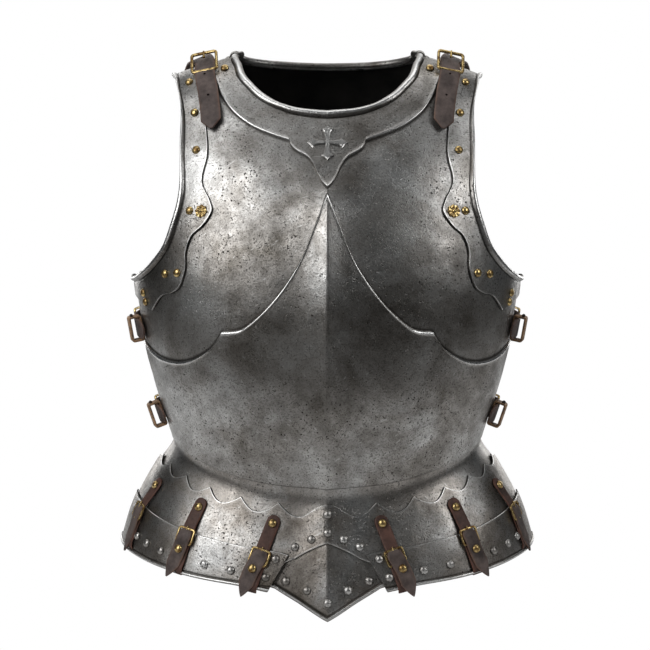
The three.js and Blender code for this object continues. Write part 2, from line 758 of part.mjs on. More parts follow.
// Places a small fitting on the right-hand side and its twin on the left.
function addFittings(name, geometry, look, { place, across, along, outward }) {
  for (const [side, sign] of [['right', 1], ['left', -1]]) {
    const flip = new THREE.Vector3(sign, 1, 1);
    const x = across.clone().multiply(flip).multiplyScalar(sign);
    const mesh = addPiece(`${name}_${side}`, geometry, look);
    const turn = new THREE.Matrix4().makeBasis(
      x,
      along.clone().multiply(flip),
      outward.clone().multiply(flip),
    );
    mesh.position.copy(place).multiply(flip);
    mesh.quaternion.setFromRotationMatrix(turn);
  }
}

addPiece('breastplate', breastplateGeometry(), STEEL);
addPiece('back_plate', backPlateGeometry(), STEEL);
addPair('arm_band', armBandGeometry(), STEEL);
addPiece('waist_lame', waistLameGeometry(), STEEL);
addPiece('scalloped_lame', scallopedLameGeometry(), STEEL);
addPair('lower_lame', lowerLameGeometry(), STEEL);
addPiece('centre_plate', centrePlateGeometry(), STEEL);
addPiece('culet_upper', upperCuletGeometry(), STEEL);
addPiece('culet_lower', lowerCuletGeometry(), STEEL);

for (const strap of STRAPS) {
  addPair(strap.name, strapGeometry(strap), LEATHER_LOOK);
  const route = new THREE.CatmullRomCurve3(strap.path.map((p) => new THREE.Vector3(...p)));
  const seat = strapFrame(route, strap.buckleAt);
  seat.place.addScaledVector(seat.outward, LEATHER + REST);
  const name = strap.name.replace('strap', 'buckle');
  addFittings(name, buckleGeometry(strap.buckle), BRASS, seat);
  if (strap.keeperAt) {
    const around = strapFrame(route, strap.keeperAt);
    around.place.addScaledVector(around.outward, -KEEPER.wall - KEEPER.slack);
    addFittings(strap.name.replace('strap', 'keeper'), keeperGeometry(), LEATHER_LOOK, around);
  }
}

function seatOnPlate({ angle, level, on }) {
  const outward = torsoNormal(angle, level);
  const across = new THREE.Vector3(0, 0, 1).cross(outward).negate().normalize();
  const along = outward.clone().cross(across);
  return { place: onTorso(angle, level, on + REST), across, along, outward };
}

for (const rivet of BRASS_RIVETS) {
  addFittings(`rivet_${rivet.name}`, rivetGeometry(), BRASS, seatOnPlate(rivet));
}
addFittings('rosette', rosetteGeometry(), BRASS, seatOnPlate(ROSETTE));

export default cuirass;
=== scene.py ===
from math import cos, pi, radians, sin

import bpy
import numpy as np
from mathutils import Matrix, Vector, noise


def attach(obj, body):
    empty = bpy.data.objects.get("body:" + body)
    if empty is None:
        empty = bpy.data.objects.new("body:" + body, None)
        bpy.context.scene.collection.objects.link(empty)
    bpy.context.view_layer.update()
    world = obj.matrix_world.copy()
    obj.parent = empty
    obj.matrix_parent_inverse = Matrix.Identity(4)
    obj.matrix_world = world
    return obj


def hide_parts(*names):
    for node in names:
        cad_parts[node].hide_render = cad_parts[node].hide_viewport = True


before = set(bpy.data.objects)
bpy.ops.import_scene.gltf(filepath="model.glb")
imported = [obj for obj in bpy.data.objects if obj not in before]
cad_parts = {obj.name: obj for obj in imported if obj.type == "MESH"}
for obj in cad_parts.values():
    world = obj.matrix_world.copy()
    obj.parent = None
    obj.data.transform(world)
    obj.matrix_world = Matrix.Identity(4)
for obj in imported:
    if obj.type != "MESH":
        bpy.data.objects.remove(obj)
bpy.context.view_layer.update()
bpy.ops.object.select_all(action="DESELECT")

# ---- floor, backdrop, lights and camera ----
# A pale sheet that curves up behind the cuirass, two soft boxes at the sides, one above and one
# behind, two strips for the rims, and a long lens a little above the middle of the chest.

sheet_side = 8.0
bpy.ops.mesh.primitive_plane_add(size=1, location=(0, 0, 0))
backdrop = bpy.context.object
backdrop.name = "backdrop_sheet"
backdrop.scale = (sheet_side, 5.0, 1)
backdrop.location = (0, -0.5, -0.0006)
bpy.ops.object.transform_apply(location=True, rotation=True, scale=True)
bpy.ops.object.mode_set(mode="EDIT")
bpy.ops.mesh.select_all(action="DESELECT")
bpy.ops.object.mode_set(mode="OBJECT")
for edge in backdrop.data.edges:
    ends = [backdrop.data.vertices[k].co for k in edge.vertices]
    edge.select = all(end.y > 1.9 for end in ends)
bpy.ops.object.mode_set(mode="EDIT")
sweep = 14
for k in range(sweep):
    turn = (k + 0.5) * (pi / 2) / sweep
    bpy.ops.mesh.extrude_region_move(TRANSFORM_OT_translate={
        "value": (0, 0.13 * cos(turn), 0.13 * sin(turn))})
bpy.ops.mesh.extrude_region_move(TRANSFORM_OT_translate={"value": (0, 0, 4.0)})
bpy.ops.object.mode_set(mode="OBJECT")
bpy.ops.object.shade_smooth()
paper = bpy.data.materials.new("backdrop_paper")
paper.use_nodes = True
nodes = paper.node_tree.nodes
links = paper.node_tree.links
nodes.clear()
paper_out = nodes.new("ShaderNodeOutputMaterial")
paper_mix = nodes.new("ShaderNodeMixShader")
paper_seen = nodes.new("ShaderNodeEmission")
paper_seen.inputs["Color"].default_value = (1.0, 1.0, 1.0, 1)
paper_seen.inputs["Strength"].default_value = 1.0
paper_lit = nodes.new("ShaderNodeBsdfDiffuse")
# The sheet is painted pale round the cuirass and darker further off, a painted falloff of light into
# the dark room.
paper_place = nodes.new("ShaderNodeTexCoord")
paper_distance = nodes.new("ShaderNodeVectorMath")
paper_distance.operation = "DISTANCE"
paper_distance.inputs[1].default_value = (0, 0.35, 0)
links.new(paper_place.outputs["Object"], paper_distance.inputs[0])
paper_painted_falloff = nodes.new("ShaderNodeMapRange")
paper_painted_falloff.interpolation_type = "SMOOTHSTEP"
paper_painted_falloff.inputs["From Min"].default_value = 0.68
paper_painted_falloff.inputs["From Max"].default_value = 0.92
paper_painted_falloff.inputs["To Min"].default_value = 0.85
paper_painted_falloff.inputs["To Max"].default_value = 0.12
links.new(paper_distance.outputs["Value"], paper_painted_falloff.inputs["Value"])
links.new(paper_painted_falloff.outputs["Result"], paper_lit.inputs["Color"])
paper_path = nodes.new("ShaderNodeLightPath")
links.new(paper_path.outputs["Is Camera Ray"], paper_mix.inputs[0])
links.new(paper_lit.outputs[0], paper_mix.inputs[1])
links.new(paper_seen.outputs[0], paper_mix.inputs[2])
links.new(paper_mix.outputs[0], paper_out.inputs["Surface"])
backdrop.data.materials.append(paper)

air = bpy.data.worlds.new("studio_air")
air.use_nodes = True
air.node_tree.nodes["Background"].inputs["Color"].default_value = (0.9, 0.95, 1.0, 1)
air.node_tree.nodes["Background"].inputs["Strength"].default_value = 0.05
bpy.context.scene.world = air

look_at = Vector((-0.0023, 0.0193, 0.2629))


def soft_box(name, place, wide, tall, power, aim=look_at):
    lamp = bpy.data.lights.new(name, "AREA")
    lamp.shape = "RECTANGLE"
    lamp.size = wide
    lamp.size_y = tall
    lamp.energy = power
    box = bpy.data.objects.new(name, lamp)
    bpy.context.collection.objects.link(box)
    box.location = place
    box.rotation_euler = (aim - Vector(place)).to_track_quat("-Z", "Y").to_euler()
    return box


soft_box("soft_box_left", (-1.25, -1.27, 1.32), 1.3, 1.5, 26)
soft_box("soft_box_right", (1.72, -0.9, 1.35), 0.8, 1.0, 11)
soft_box("soft_box_above", (0.0, 0.1, 2.0), 1.6, 0.8, 8)
soft_box("soft_box_behind", (0.0, 1.2, 1.5), 2.4, 0.8, 12)
soft_box("rim_strip_left", (-1.05, 1.7, 0.45), 0.5, 0.9, 5)
soft_box("rim_strip_right", (1.05, 1.7, 0.45), 0.5, 0.9, 5)

distance = 2.2
climb = radians(8)
lens = bpy.data.cameras.new("camera")
lens.sensor_width = 36
lens.lens = 121.85
camera = bpy.data.objects.new("camera", lens)
bpy.context.collection.objects.link(camera)
camera.location = look_at + Vector((0, -distance * cos(climb), distance * sin(climb)))
camera.rotation_euler = (radians(90) - climb, 0, 0)
bpy.context.scene.camera = camera
bpy.context.scene.view_settings.view_transform = "Standard"

# ---- breastplate ----
# One steel plate hammered to the round of the chest, with a ridge down the middle, a raised
# lower field with an ogee edge, a raised neck band with a pendant, and a rolled neck edge.

# Horizontal sections of the torso in millimetres: level, half width, depth in front, depth
# behind, and how far the front centre hangs below the sides.
torso_sections = np.array([
    (-30, 214, 156, 120, 40),
    (43, 205, 150, 117, 41),
    (92, 190, 138, 108, 40),
    (128, 171, 125, 97, 38),
    (152, 155, 118, 88, 36),
    (170, 158, 124, 90, 31),
    (205, 169, 137, 97, 18),
    (240, 178, 146, 104, 7),
    (290, 187, 150, 110, 0),
    (335, 191, 146, 113, 0),
    (385, 188, 132, 113, 0),
    (430, 184, 111, 108, 0),
    (465, 178, 88, 98, 0),
    (490, 171, 71, 86, 0),
    (505, 161, 59, 75, 0),
    (515, 149, 50, 64, 0),
    (525, 128, 38, 50, 0),
    (534, 104, 25, 34, 0),
    (540, 84, 12, 20, 0),
], dtype=float)
half_width, front_depth, back_depth, front_drop = 1, 2, 3, 4
torso_back_shift = 19.3
torso_floor = 3.1
torso_power = 2 / 2.25  # a little squarer than an ellipse
ridge_degrees, ridge_forward, ridge_top, ridge_fade = 11, 5, 425, 40


def section_value(level, column):
    levels = torso_sections[:, 0]
    values = torso_sections[:, column]
    slopes = np.gradient(values, levels)
    slopes[1:-1] = (values[2:] - values[:-2]) / (levels[2:] - levels[:-2])
    i = np.clip(np.searchsorted(levels[1:], level), 0, len(levels) - 2)
    span = levels[i + 1] - levels[i]
    s = (level - levels[i]) / span
    rise = values[i + 1] - values[i]
    bend = (slopes[i] * span - rise) * (1 - s) - (slopes[i + 1] * span - rise) * s
    return values[i] + rise * s + s * (1 - s) * bend


def torso(angle, level):
    turn = np.radians(angle)
    sine, cosine = np.sin(turn), np.cos(turn)
    in_front = cosine > 0
    depth = np.where(in_front, section_value(level, front_depth), section_value(level, back_depth))
    x = section_value(level, half_width) * np.sign(sine) * np.abs(sine) ** torso_power
    y = -depth * np.sign(cosine) * np.abs(cosine) ** torso_power
    drop = section_value(level, front_drop) * np.maximum(cosine, 0) ** 1.7
    off_ridge = np.where(angle > 180, angle - 360, angle)
    near_ridge = np.maximum(0, 1 - np.abs(off_ridge) / ridge_degrees) ** 2
    fade = np.clip((ridge_top - level) / ridge_fade, 0, 1)
    y = y - ridge_forward * near_ridge * fade * fade * (3 - 2 * fade)
    return np.stack([x, y + torso_back_shift, level - drop - torso_floor], axis=-1)


def torso_out(angle, level):
    around = torso(angle + 0.6, level) - torso(angle - 0.6, level)
    upward = torso(angle, level + 1) - torso(angle, level - 1)
    out = np.cross(around, upward)
    return out / np.linalg.norm(out, axis=-1, keepdims=True)


# Hammering leaves the plates very slightly uneven; every plate follows the same unevenness.
def hammered(place):
    flat = place.reshape(-1, 3)
    waves = [
        noise.noise(Vector(p) / 46) * 0.75 + noise.noise(Vector(p) / 19) * 0.22
        for p in flat
    ]
    return np.array(waves).reshape(place.shape[:-1])


def on_torso(angle, level, height):
    place = torso(angle, level)
    lift = height + hammered(place)
    return place + torso_out(angle, level) * lift[..., None]


# One spot over the torso, in millimetres, and the way out of the torso there.
def spot_and_out(angle, level, height):
    a, b, c = (np.array([float(value)]) for value in (angle, level, height))
    return Vector(on_torso(a, b, c)[0]), Vector(torso_out(a, b)[0])


# A smooth curve through [angle, level] points, as steps + 1 points.
def curve_through(points, steps):
    points = np.array(points, dtype=float)
    last = len(points) - 1
    t = np.linspace(0, last, steps + 1)
    i = np.minimum(t.astype(int), last - 1)
    s = (t - i)[:, None]
    p0, p1 = points[np.maximum(i - 1, 0)], points[i]
    p2, p3 = points[i + 1], points[np.minimum(i + 2, last)]
    v0, v1 = (p2 - p0) / 2, (p3 - p1) / 2
    return (2 * (p1 - p2) + v0 + v1) * s ** 3 + (3 * (p2 - p1) - 2 * v0 - v1) * s ** 2 + v0 * s + p1


def trace(*pieces):
    parts = [curve_through(points, steps) for points, steps in pieces]
    return np.concatenate([parts[0]] + [part[1:] for part in parts[1:]])


def both_sides(half):
    return np.concatenate([half[:0:-1] * (-1, 1), half])


def length_between(low, high):
    step = torso(high[:, 0], high[:, 1]) - torso(low[:, 0], low[:, 1])
    return np.maximum(np.linalg.norm(step, axis=1), 1e-6)


def shifted(line, towards, distance):
    share = np.minimum(0.45, distance / length_between(line, towards))
    return line + (towards - line) * share[:, None]


# A row of a plate: its points, the height of its outer face, its thickness, and how much painted
# highlight with edge polish (above 0) or painted shade (below 0) the steel gets there.
def plate_row(points, height, thickness=1.6, wear_and_painted_light=0.0):
    return points, height, thickness, wear_and_painted_light


def in_full(rows, doubled=both_sides):
    return [plate_row(doubled(points), *rest) for points, *rest in rows]


# Evenly spaced rows between two lines, from a first to a last share of the way.
def spread(low, high, count, height, first=0.0, last=1.0, wear_and_painted_light=0.0):
    step = (last - first) / (count - 1)
    return [
        plate_row(low + (high - low) * (first + step * k), height, wear_and_painted_light=wear_and_painted_light) for k in range(count)
    ]


# Rows between two lines at one height, closer together at both edges, where heights may differ.
# Each edge is a short list of (distance from the line, change of height, painted light: highlight
# above 0, shade below 0).
def field_rows(low, high, steps, height, low_edge=(), high_edge=(), line_at=None):
    place = line_at or (lambda share: low + (high - low) * share[:, None])
    tiny = 0.02
    zero, full = np.zeros(len(low)), np.ones(len(low))
    start_length = length_between(place(zero), place(full * tiny)) / tiny
    end_length = length_between(place(full * (1 - tiny)), place(full)) / tiny
    rows = []
    first = zero
    for distance, change, wear_and_painted_light in low_edge:
        first = np.minimum(distance / start_length, 0.3)
        rows.append(plate_row(place(first), height + change, wear_and_painted_light=wear_and_painted_light))
    last = full
    ends = []
    for distance, change, wear_and_painted_light in high_edge:
        last = 1 - np.minimum(distance / end_length, 0.3)
        ends.append(plate_row(place(last), height + change, wear_and_painted_light=wear_and_painted_light))
    middle_first = first if len(low_edge) else zero - (last - zero) / steps
    for k in range(1, steps):
        rows.append(plate_row(place(middle_first + (last - middle_first) * k / steps), height))
    return rows + ends[::-1]


# Rows that round an edge off in a bead of a radius, with a painted highlight along its crest,
# painted shade on its sides, and a fine groove behind it painted in shade.
def bead_rows(line, inside, radius, height, turns=9):
    rows = [plate_row(shifted(line, inside, radius + 2.8), height)]
    rows.append(plate_row(shifted(line, inside, radius + 1.7), height - 0.1, wear_and_painted_light=-0.85))
    rows.append(plate_row(shifted(line, inside, radius + 0.7), height - 0.4, wear_and_painted_light=-1.0))
    for k in range(turns):
        turn = radians(16) + (pi - radians(32)) * k / (turns - 1)
        half = radius * sin(turn)
        middle = height - 0.8
        polish_and_painted_light = 1.5 * sin(turn) ** 4 - 0.6
        rows.append(plate_row(
            shifted(line, inside, radius * cos(turn)), middle + half, 2 * half, polish_and_painted_light))
    return rows


# Builds a closed wall from rows, smooths it and gives it its material slots.
def plate_piece(name, rows, materials, black_and_shade_inside=False, smooth=34):
    points = np.array([row[0] for row in rows])
    heights = np.array([np.broadcast_to(row[1], len(row[0])) for row in rows])
    thick = np.array([np.broadcast_to(row[2], len(row[0])) for row in rows])
    wear_and_painted_light = np.array([np.broadcast_to(row[3], len(row[0])) for row in rows])
    outer = on_torso(points[..., 0], points[..., 1], heights)
    inner = on_torso(points[..., 0], points[..., 1], heights - thick)
    return wall_piece(name, outer, inner, wear_and_painted_light, materials, black_and_shade_inside, smooth)


def wall_piece(name, outer, inner, wear_and_painted_light, materials, black_and_shade_inside=False, smooth=34):
    count_rows, count_columns = outer.shape[:2]
    total = count_rows * count_columns
    index = np.arange(total).reshape(count_rows, count_columns)
    corners = [index[:-1, :-1], index[:-1, 1:], index[1:, 1:], index[1:, :-1]]
    outside = np.stack([c.ravel() for c in corners], axis=1)
    inside = outside[:, ::-1] + total
    rim = np.concatenate([index[0, :], index[1:, -1], index[-1, -2::-1], index[-2:0:-1, 0]])
    ahead = np.roll(rim, -1)
    sides = np.stack([rim + total, ahead + total, ahead, rim], axis=1)
    faces = np.concatenate([outside, inside, sides])
    mesh = bpy.data.meshes.new(name)
    corners_at = np.concatenate([outer.reshape(-1, 3), inner.reshape(-1, 3)]) * 0.001
    mesh.from_pydata(corners_at.tolist(), [], faces.tolist())
    marks = mesh.attributes.new("wear_and_painted_light", "FLOAT", "POINT")
    marks.data.foreach_set("value", np.concatenate([wear_and_painted_light.ravel(), wear_and_painted_light.ravel()]).astype(np.float32))
    piece = bpy.data.objects.new(name, mesh)
    bpy.context.collection.objects.link(piece)
    for material in materials:
        mesh.materials.append(material)
    # The inner faces get the near-black material, partly painted shade.
    if black_and_shade_inside:
        rim_rows = 11  # the bead of the neck edge stays bright all round
        which = np.zeros(len(faces), dtype=np.int32)
        which[len(outside):len(faces) - len(sides) - rim_rows * (count_columns - 1)] = 1
        mesh.polygons.foreach_set("material_index", which)
    finish_piece(piece, smooth)
    return piece


def edit_all():
    bpy.ops.object.mode_set(mode="EDIT")
    bpy.ops.mesh.select_all(action="SELECT")


# Smooths what is selected up to an angle, and lets go of it.
def let_go(smooth):
    bpy.ops.object.shade_smooth_by_angle(angle=radians(smooth))
    bpy.ops.object.select_all(action="DESELECT")


def finish_piece(piece, smooth):
    bpy.ops.object.select_all(action="DESELECT")
    piece.select_set(True)
    bpy.context.view_layer.objects.active = piece
    edit_all()
    bpy.ops.mesh.normals_make_consistent(inside=False)
    bpy.ops.object.mode_set(mode="OBJECT")
    let_go(smooth)


# A material under way, with its textures on object coordinates. Every bump goes on top of the
# bumps before it.
class Surface:
    def __init__(self, name, metallic=0.0):
        self.material = bpy.data.materials.new(name)
        self.material.use_nodes = True
        self.nodes = self.material.node_tree.nodes
        self.links = self.material.node_tree.links
        self.shader = self.nodes["Principled BSDF"]
        self.shader.inputs["Metallic"].default_value = metallic
        self.where = self.nodes.new("ShaderNodeTexCoord").outputs["Object"]
        self.normal = None

    def put(self, value, socket):
        if isinstance(value, float):
            socket.default_value = value
        elif isinstance(value, tuple):
            socket.default_value = (*value, 1)
        else:
            self.links.new(value, socket)

    def texture(self, kind, scale, **settings):
        node = self.nodes.new("ShaderNodeTex" + kind)
        for key, value in settings.items():
            if key in node.inputs:
                node.inputs[key].default_value = value
            else:
                setattr(node, key, value)
        node.inputs["Scale"].default_value = scale
        self.links.new(self.where, node.inputs["Vector"])
        return node.outputs["Distance" if kind == "Voronoi" else "Fac"]

    def wear_and_painted_light(self):
        marks = self.nodes.new("ShaderNodeAttribute")
        marks.attribute_name = "wear_and_painted_light"
        return marks.outputs["Fac"]

    def ramp(self, source, stops):
        node = self.nodes.new("ShaderNodeValToRGB")
        first, last = node.color_ramp.elements
        first.position, first.color = stops[0][0], (*stops[0][1], 1)
        last.position, last.color = stops[-1][0], (*stops[-1][1], 1)
        for position, colour in stops[1:-1]:
            node.color_ramp.elements.new(position).color = (*colour, 1)
        self.links.new(source, node.inputs[0])
        return node.outputs[0]

    def math(self, kind, first, second):
        node = self.nodes.new("ShaderNodeMath")
        node.operation = kind
        node.use_clamp = True
        self.put(first, node.inputs[0])
        self.put(second, node.inputs[1])
        return node.outputs[0]

    def mix(self, share, first, second, blend="MIX"):
        node = self.nodes.new("ShaderNodeMix")
        node.data_type = "RGBA"
        node.blend_type = blend
        for key, value in ((0, share), (6, first), (7, second)):
            self.put(value, node.inputs[key])
        return node.outputs[2]

    def bump(self, height, strength, distance, invert=False):
        node = self.nodes.new("ShaderNodeBump")
        node.invert = invert
        node.inputs["Strength"].default_value = strength
        node.inputs["Distance"].default_value = distance
        self.links.new(height, node.inputs["Height"])
        if self.normal:
            self.links.new(self.normal, node.inputs["Normal"])
        self.normal = node.outputs[0]
        self.links.new(self.normal, self.shader.inputs["Normal"])


black, white = (0.0,) * 3, (1.0,) * 3


# Old steel, once bright: grey with brown shadows, pits in clusters, and fine scratches.
def aged_steel(name, brightness, warmth):
    steel = Surface(name, 1.0)
    clouds = steel.texture("Noise", 13.0, Detail=6.0, Roughness=0.62, Distortion=0.4)
    mottle = steel.texture("Noise", 60.0, Detail=7.0, Roughness=0.7)
    grain = steel.texture("Noise", 640.0, Detail=4.0, Roughness=0.75)
    dark = tuple(c * brightness for c in (0.15 * warmth, 0.135, 0.115 / warmth))
    middle = tuple(c * brightness for c in (0.37 * warmth ** 0.5, 0.355, 0.335 / warmth ** 0.5))
    light = tuple(c * brightness for c in (0.62, 0.62, 0.61))
    colour = steel.ramp(clouds, [(0.3, dark), (0.47, middle), (0.66, light)])
    blotches = steel.ramp(mottle, [(0.3, (0.42, 0.41, 0.4)), (0.62, white)])
    colour = steel.mix(0.75, colour, blotches, "MULTIPLY")
    speck = steel.ramp(grain, [(0.36, (0.24, 0.23, 0.22)), (0.5, white)])
    colour = steel.mix(0.75, colour, speck, "MULTIPLY")

    clusters = steel.texture("Noise", 21.0, Detail=3.0, Roughness=0.6)
    in_cluster = steel.ramp(clusters, [(0.44, black), (0.58, white)])
    large_pits = steel.ramp(steel.texture("Voronoi", 190.0), [(0.1, white), (0.2, black)])
    small_noise = steel.texture("Noise", 520.0, Detail=2.5, Roughness=0.6)
    small_pits = steel.ramp(small_noise, [(0.61, black), (0.64, white)])
    in_blotch = steel.ramp(mottle, [(0.46, black), (0.56, white)])
    pits = steel.math("MAXIMUM", steel.math("MULTIPLY", large_pits, in_cluster),
                      steel.math("MULTIPLY", small_pits, in_blotch))
    colour = steel.mix(steel.math("MULTIPLY", pits, 0.95), colour, (0.025, 0.021, 0.018))

    turned = steel.nodes.new("ShaderNodeMapping")
    turned.inputs["Rotation"].default_value = (0.5, 0.35, 0.8)
    turned.inputs["Scale"].default_value = (45, 1100, 170)
    steel.links.new(steel.where, turned.inputs["Vector"])
    scratches = steel.nodes.new("ShaderNodeTexNoise")
    scratches.inputs["Scale"].default_value = 1.0
    scratches.inputs["Detail"].default_value = 1.0
    steel.links.new(turned.outputs[0], scratches.inputs["Vector"])
    scratch = steel.ramp(scratches.outputs["Fac"], [(0.7, black), (0.76, white)])
    colour = steel.mix(steel.math("MULTIPLY", scratch, 0.3), colour, (0.75, 0.75, 0.74))

    # The marks paint light into the steel: above 0 a painted highlight with some edge polish,
    # lighter and smoother; below 0 painted shade, near black.
    marks = steel.wear_and_painted_light()
    polish_and_painted_light = steel.math("MAXIMUM", marks, 0.0)
    painted_shade = steel.math("MAXIMUM", steel.math("MULTIPLY", marks, -1.0), 0.0)
    colour = steel.mix(steel.math("MULTIPLY", polish_and_painted_light, 0.85), colour, (0.82, 0.82, 0.81))
    colour = steel.mix(steel.math("MULTIPLY", painted_shade, 0.85), colour, (0.03, 0.026, 0.022))
    steel.put(colour, steel.shader.inputs["Base Color"])

    rough = steel.ramp(mottle, [(0.3, (0.46,) * 3), (0.65, (0.3,) * 3)])
    rough = steel.mix(steel.math("MULTIPLY", pits, 0.8), rough, (0.75,) * 3)
    rough = steel.mix(steel.math("MULTIPLY", polish_and_painted_light, 0.6), rough, (0.2,) * 3)
    steel.put(rough, steel.shader.inputs["Roughness"])
    steel.bump(grain, 0.25, 0.0005)
    steel.bump(mottle, 0.35, 0.0012)
    steel.bump(pits, 0.3, 0.0006, invert=True)
    return steel.material


# The inside is near black: steel left black from the forge, darkened further as painted shade.
def forge_black_and_shade(name):
    inside_surface = Surface(name, 0.6)
    inside_surface.shader.inputs["Roughness"].default_value = 0.8
    scale = inside_surface.texture("Noise", 40.0, Detail=6.0)
    tint = inside_surface.ramp(scale, [(0.35, (0.006, 0.006, 0.006)), (0.7, (0.022, 0.02, 0.018))])
    inside_surface.put(tint, inside_surface.shader.inputs["Base Color"])
    inside_surface.bump(scale, 0.3, 0.0005)
    return inside_surface.material


plate_steel = aged_steel("plate_steel", 1.0, 1.0)
inner_black_and_shade = forge_black_and_shade("inner_black_and_shade")

front_seam = 91
waist_level = 160
relief = 1.6
neck_bead = 3.8
chest_scale = 7
columns = 13 * chest_scale

waist_line = trace(([(0, waist_level), (front_seam, waist_level)], columns))
plackart_line = trace(
    ([(0, 406), (1.8, 384), (6.2, 343), (13.4, 307), (22, 283.5), (29.3, 279)], 8 * chest_scale),
    ([(29.3, 279), (35, 262), (46, 249), (60, 246.5), (75, 253), (front_seam, 262)],
     5 * chest_scale),
)
neck_band_line = trace(
    ([(0, 412), (1.1, 418), (2, 425.4), (3, 433.5), (4.6, 440.5), (7, 445), (8.7, 449.5),
      (9.4, 455)], 4 * chest_scale),
    ([(9.4, 455), (20, 466.5), (28, 480), (35, 497), (43, 512), (60, 524.5)], 9 * chest_scale),
)
neck_line = trace((
    [(0, 479), (7, 481.5), (13, 486.5), (19, 494.5), (27, 508.5), (38, 523), (53, 532)], columns))
chest_edge = trace(
    ([(front_seam, 262), (front_seam, 303)], 40),
    ([(front_seam, 303), (78, 307), (63, 317), (53, 335), (46, 356), (42.5, 384), (41.5, 418),
      (43, 452), (48, 483), (56, 500), (63, 511), (70, 516)], 180),
    ([(70, 516), (60, 524.5)], 20),
)


# The chest field's rows run from the plackart's edge to the neck band's, and their ends follow
# the armhole.
def chest_line(share):
    place = plackart_line + (neck_band_line - plackart_line) * share[:, None]
    along = share * (len(chest_edge) - 1)
    steps = np.arange(len(chest_edge))
    edge = np.stack([np.interp(along, steps, chest_edge[:, k]) for k in (0, 1)], axis=1)
    corner = plackart_line[-1] + (neck_band_line[-1] - plackart_line[-1]) * share[:, None]
    weight = (np.arange(columns + 1) / columns) ** 2
    return place + (edge - corner) * weight[:, None]


# The ridge stands out most over the point of the plackart, and dies out towards both ends.
def ridge_rise(line):
    across = np.abs(np.radians(line[:, 0])) * 190
    upper = np.clip((426 - line[:, 1]) / 16, 0, 1)
    lower = np.clip((line[:, 1] - 150) / 130, 0.35, 1)
    return 2.3 * np.exp(-across / 8) * upper * lower


# The last value of each edge row is painted light: highlight along the raised ribs, shade at their
# feet.
raised_edge = ((0.0, -0.5, 0.2), (0.6, 0.3, 1.0), (1.4, 0.75, 1.0), (2.3, 0.85, 0.9),
               (3.3, 0.5, 0.3), (4.6, 0.1, 0), (6, 0, 0))
soft_edge = ((0.0, -0.5, 0), (0.6, 0.2, 0.6), (1.3, 0.45, 0.5), (2.4, 0.3, 0.2), (4, 0.1, 0),
             (5.4, 0, 0))
foot = ((0.5, 0.6, -0.2), (1.0, 0.1, -1.0), (1.8, 0, -0.8), (3.6, 0, 0))
# The lower edge of the breastplate is painted in shade.
rows = [
    plate_row(waist_line, relief - 0.6, 0.5, -0.9),
    plate_row(shifted(waist_line, plackart_line, 0.7), relief, 1.6, -0.3),
]
rows += field_rows(waist_line, plackart_line, 46, relief, ((2.0, 0, 0),), raised_edge)
rows += field_rows(plackart_line, neck_band_line, 84, 0, foot, foot, chest_line)
rows += field_rows(neck_band_line, neck_line, 18, relief, soft_edge)[:-2]
rows += bead_rows(neck_line, neck_band_line, neck_bead, relief, 11)
rows = [plate_row(points, height + ridge_rise(points), thick, wear_and_painted_light)
        for points, height, thick, wear_and_painted_light in in_full(rows)]
breastplate = plate_piece("breastplate_steel", rows, [plate_steel, inner_black_and_shade], True, 32)

# The cross is a separate thin steel ornament with flared ends, let into the neck band.
cross_arm = ((1.7, 1.7), (2.1, 7.0), (3.0, 11.5), (4.3, 13.3), (6.2, 13.9), (4.2, 15.4), (2.6, 16.3),
             (0, 19.3))
outline = []
for arm in range(4):
    side = [(-x, y) for x, y in cross_arm[:0:-1]][1:]
    for x, y in list(cross_arm) + side:
        turned = Matrix.Rotation(arm * pi / 2, 2) @ Vector((x, y))
        outline.append((turned.x, turned.y, 0.0))
mesh = bpy.data.meshes.new("neck_cross")
mesh.from_pydata(outline, [], [list(range(len(outline)))])
cross = bpy.data.objects.new("neck_cross_steel", mesh)
bpy.context.collection.objects.link(cross)
cross.select_set(True)
bpy.context.view_layer.objects.active = cross
edit_all()
bpy.ops.mesh.extrude_region_move(TRANSFORM_OT_translate={"value": (0, 0, 1.5)})
bpy.ops.mesh.inset(thickness=0.95, depth=0.75)
bpy.ops.mesh.select_all(action="SELECT")
bpy.ops.mesh.quads_convert_to_tris()
bpy.ops.mesh.subdivide(number_cuts=2)
bpy.ops.mesh.normals_make_consistent(inside=False)
bpy.ops.object.mode_set(mode="OBJECT")
cross_level = 452.5
centre, outward = spot_and_out(0, cross_level, relief)
upward = outward.cross(Vector((1, 0, 0))).normalized()
if upward.z < 0:
    upward = -upward
# The cross is painted in shade at its foot and lighter on its raised face: painted relief shading.
marks = mesh.attributes.new("wear_and_painted_light", "FLOAT", "POINT")
for vertex, mark in zip(mesh.vertices, marks.data):
    x, y, height = vertex.co
    mark.value = max(-1.0, min(0.45, height * 1.2 - 1.4))
    lift = height - 0.5 - 0.0015 * x * x
    vertex.co = (centre + Vector((x, 0, 0)) + upward * y + outward * lift) * 0.001
mesh.materials.append(plate_steel)
finish_piece(cross, 20)


def fasten(piece, node=None):
    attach(piece, "root")
    if node:
        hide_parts(node)


fasten(breastplate, "breastplate")
fasten(cross, "breastplate")

# ---- back plate ----
# The back is one steel plate too, tucked under the edges of the breastplate, with its neck edge
# and its armhole edges rolled. The inside shows through the neck.

back_scale = 7
back_columns = 10 * back_scale
back_height = -3.6
arm_bead = 3.4


def round_back(half):
    return np.concatenate([half, (half[-2::-1] * (-1, 1)) + (360, 0)])


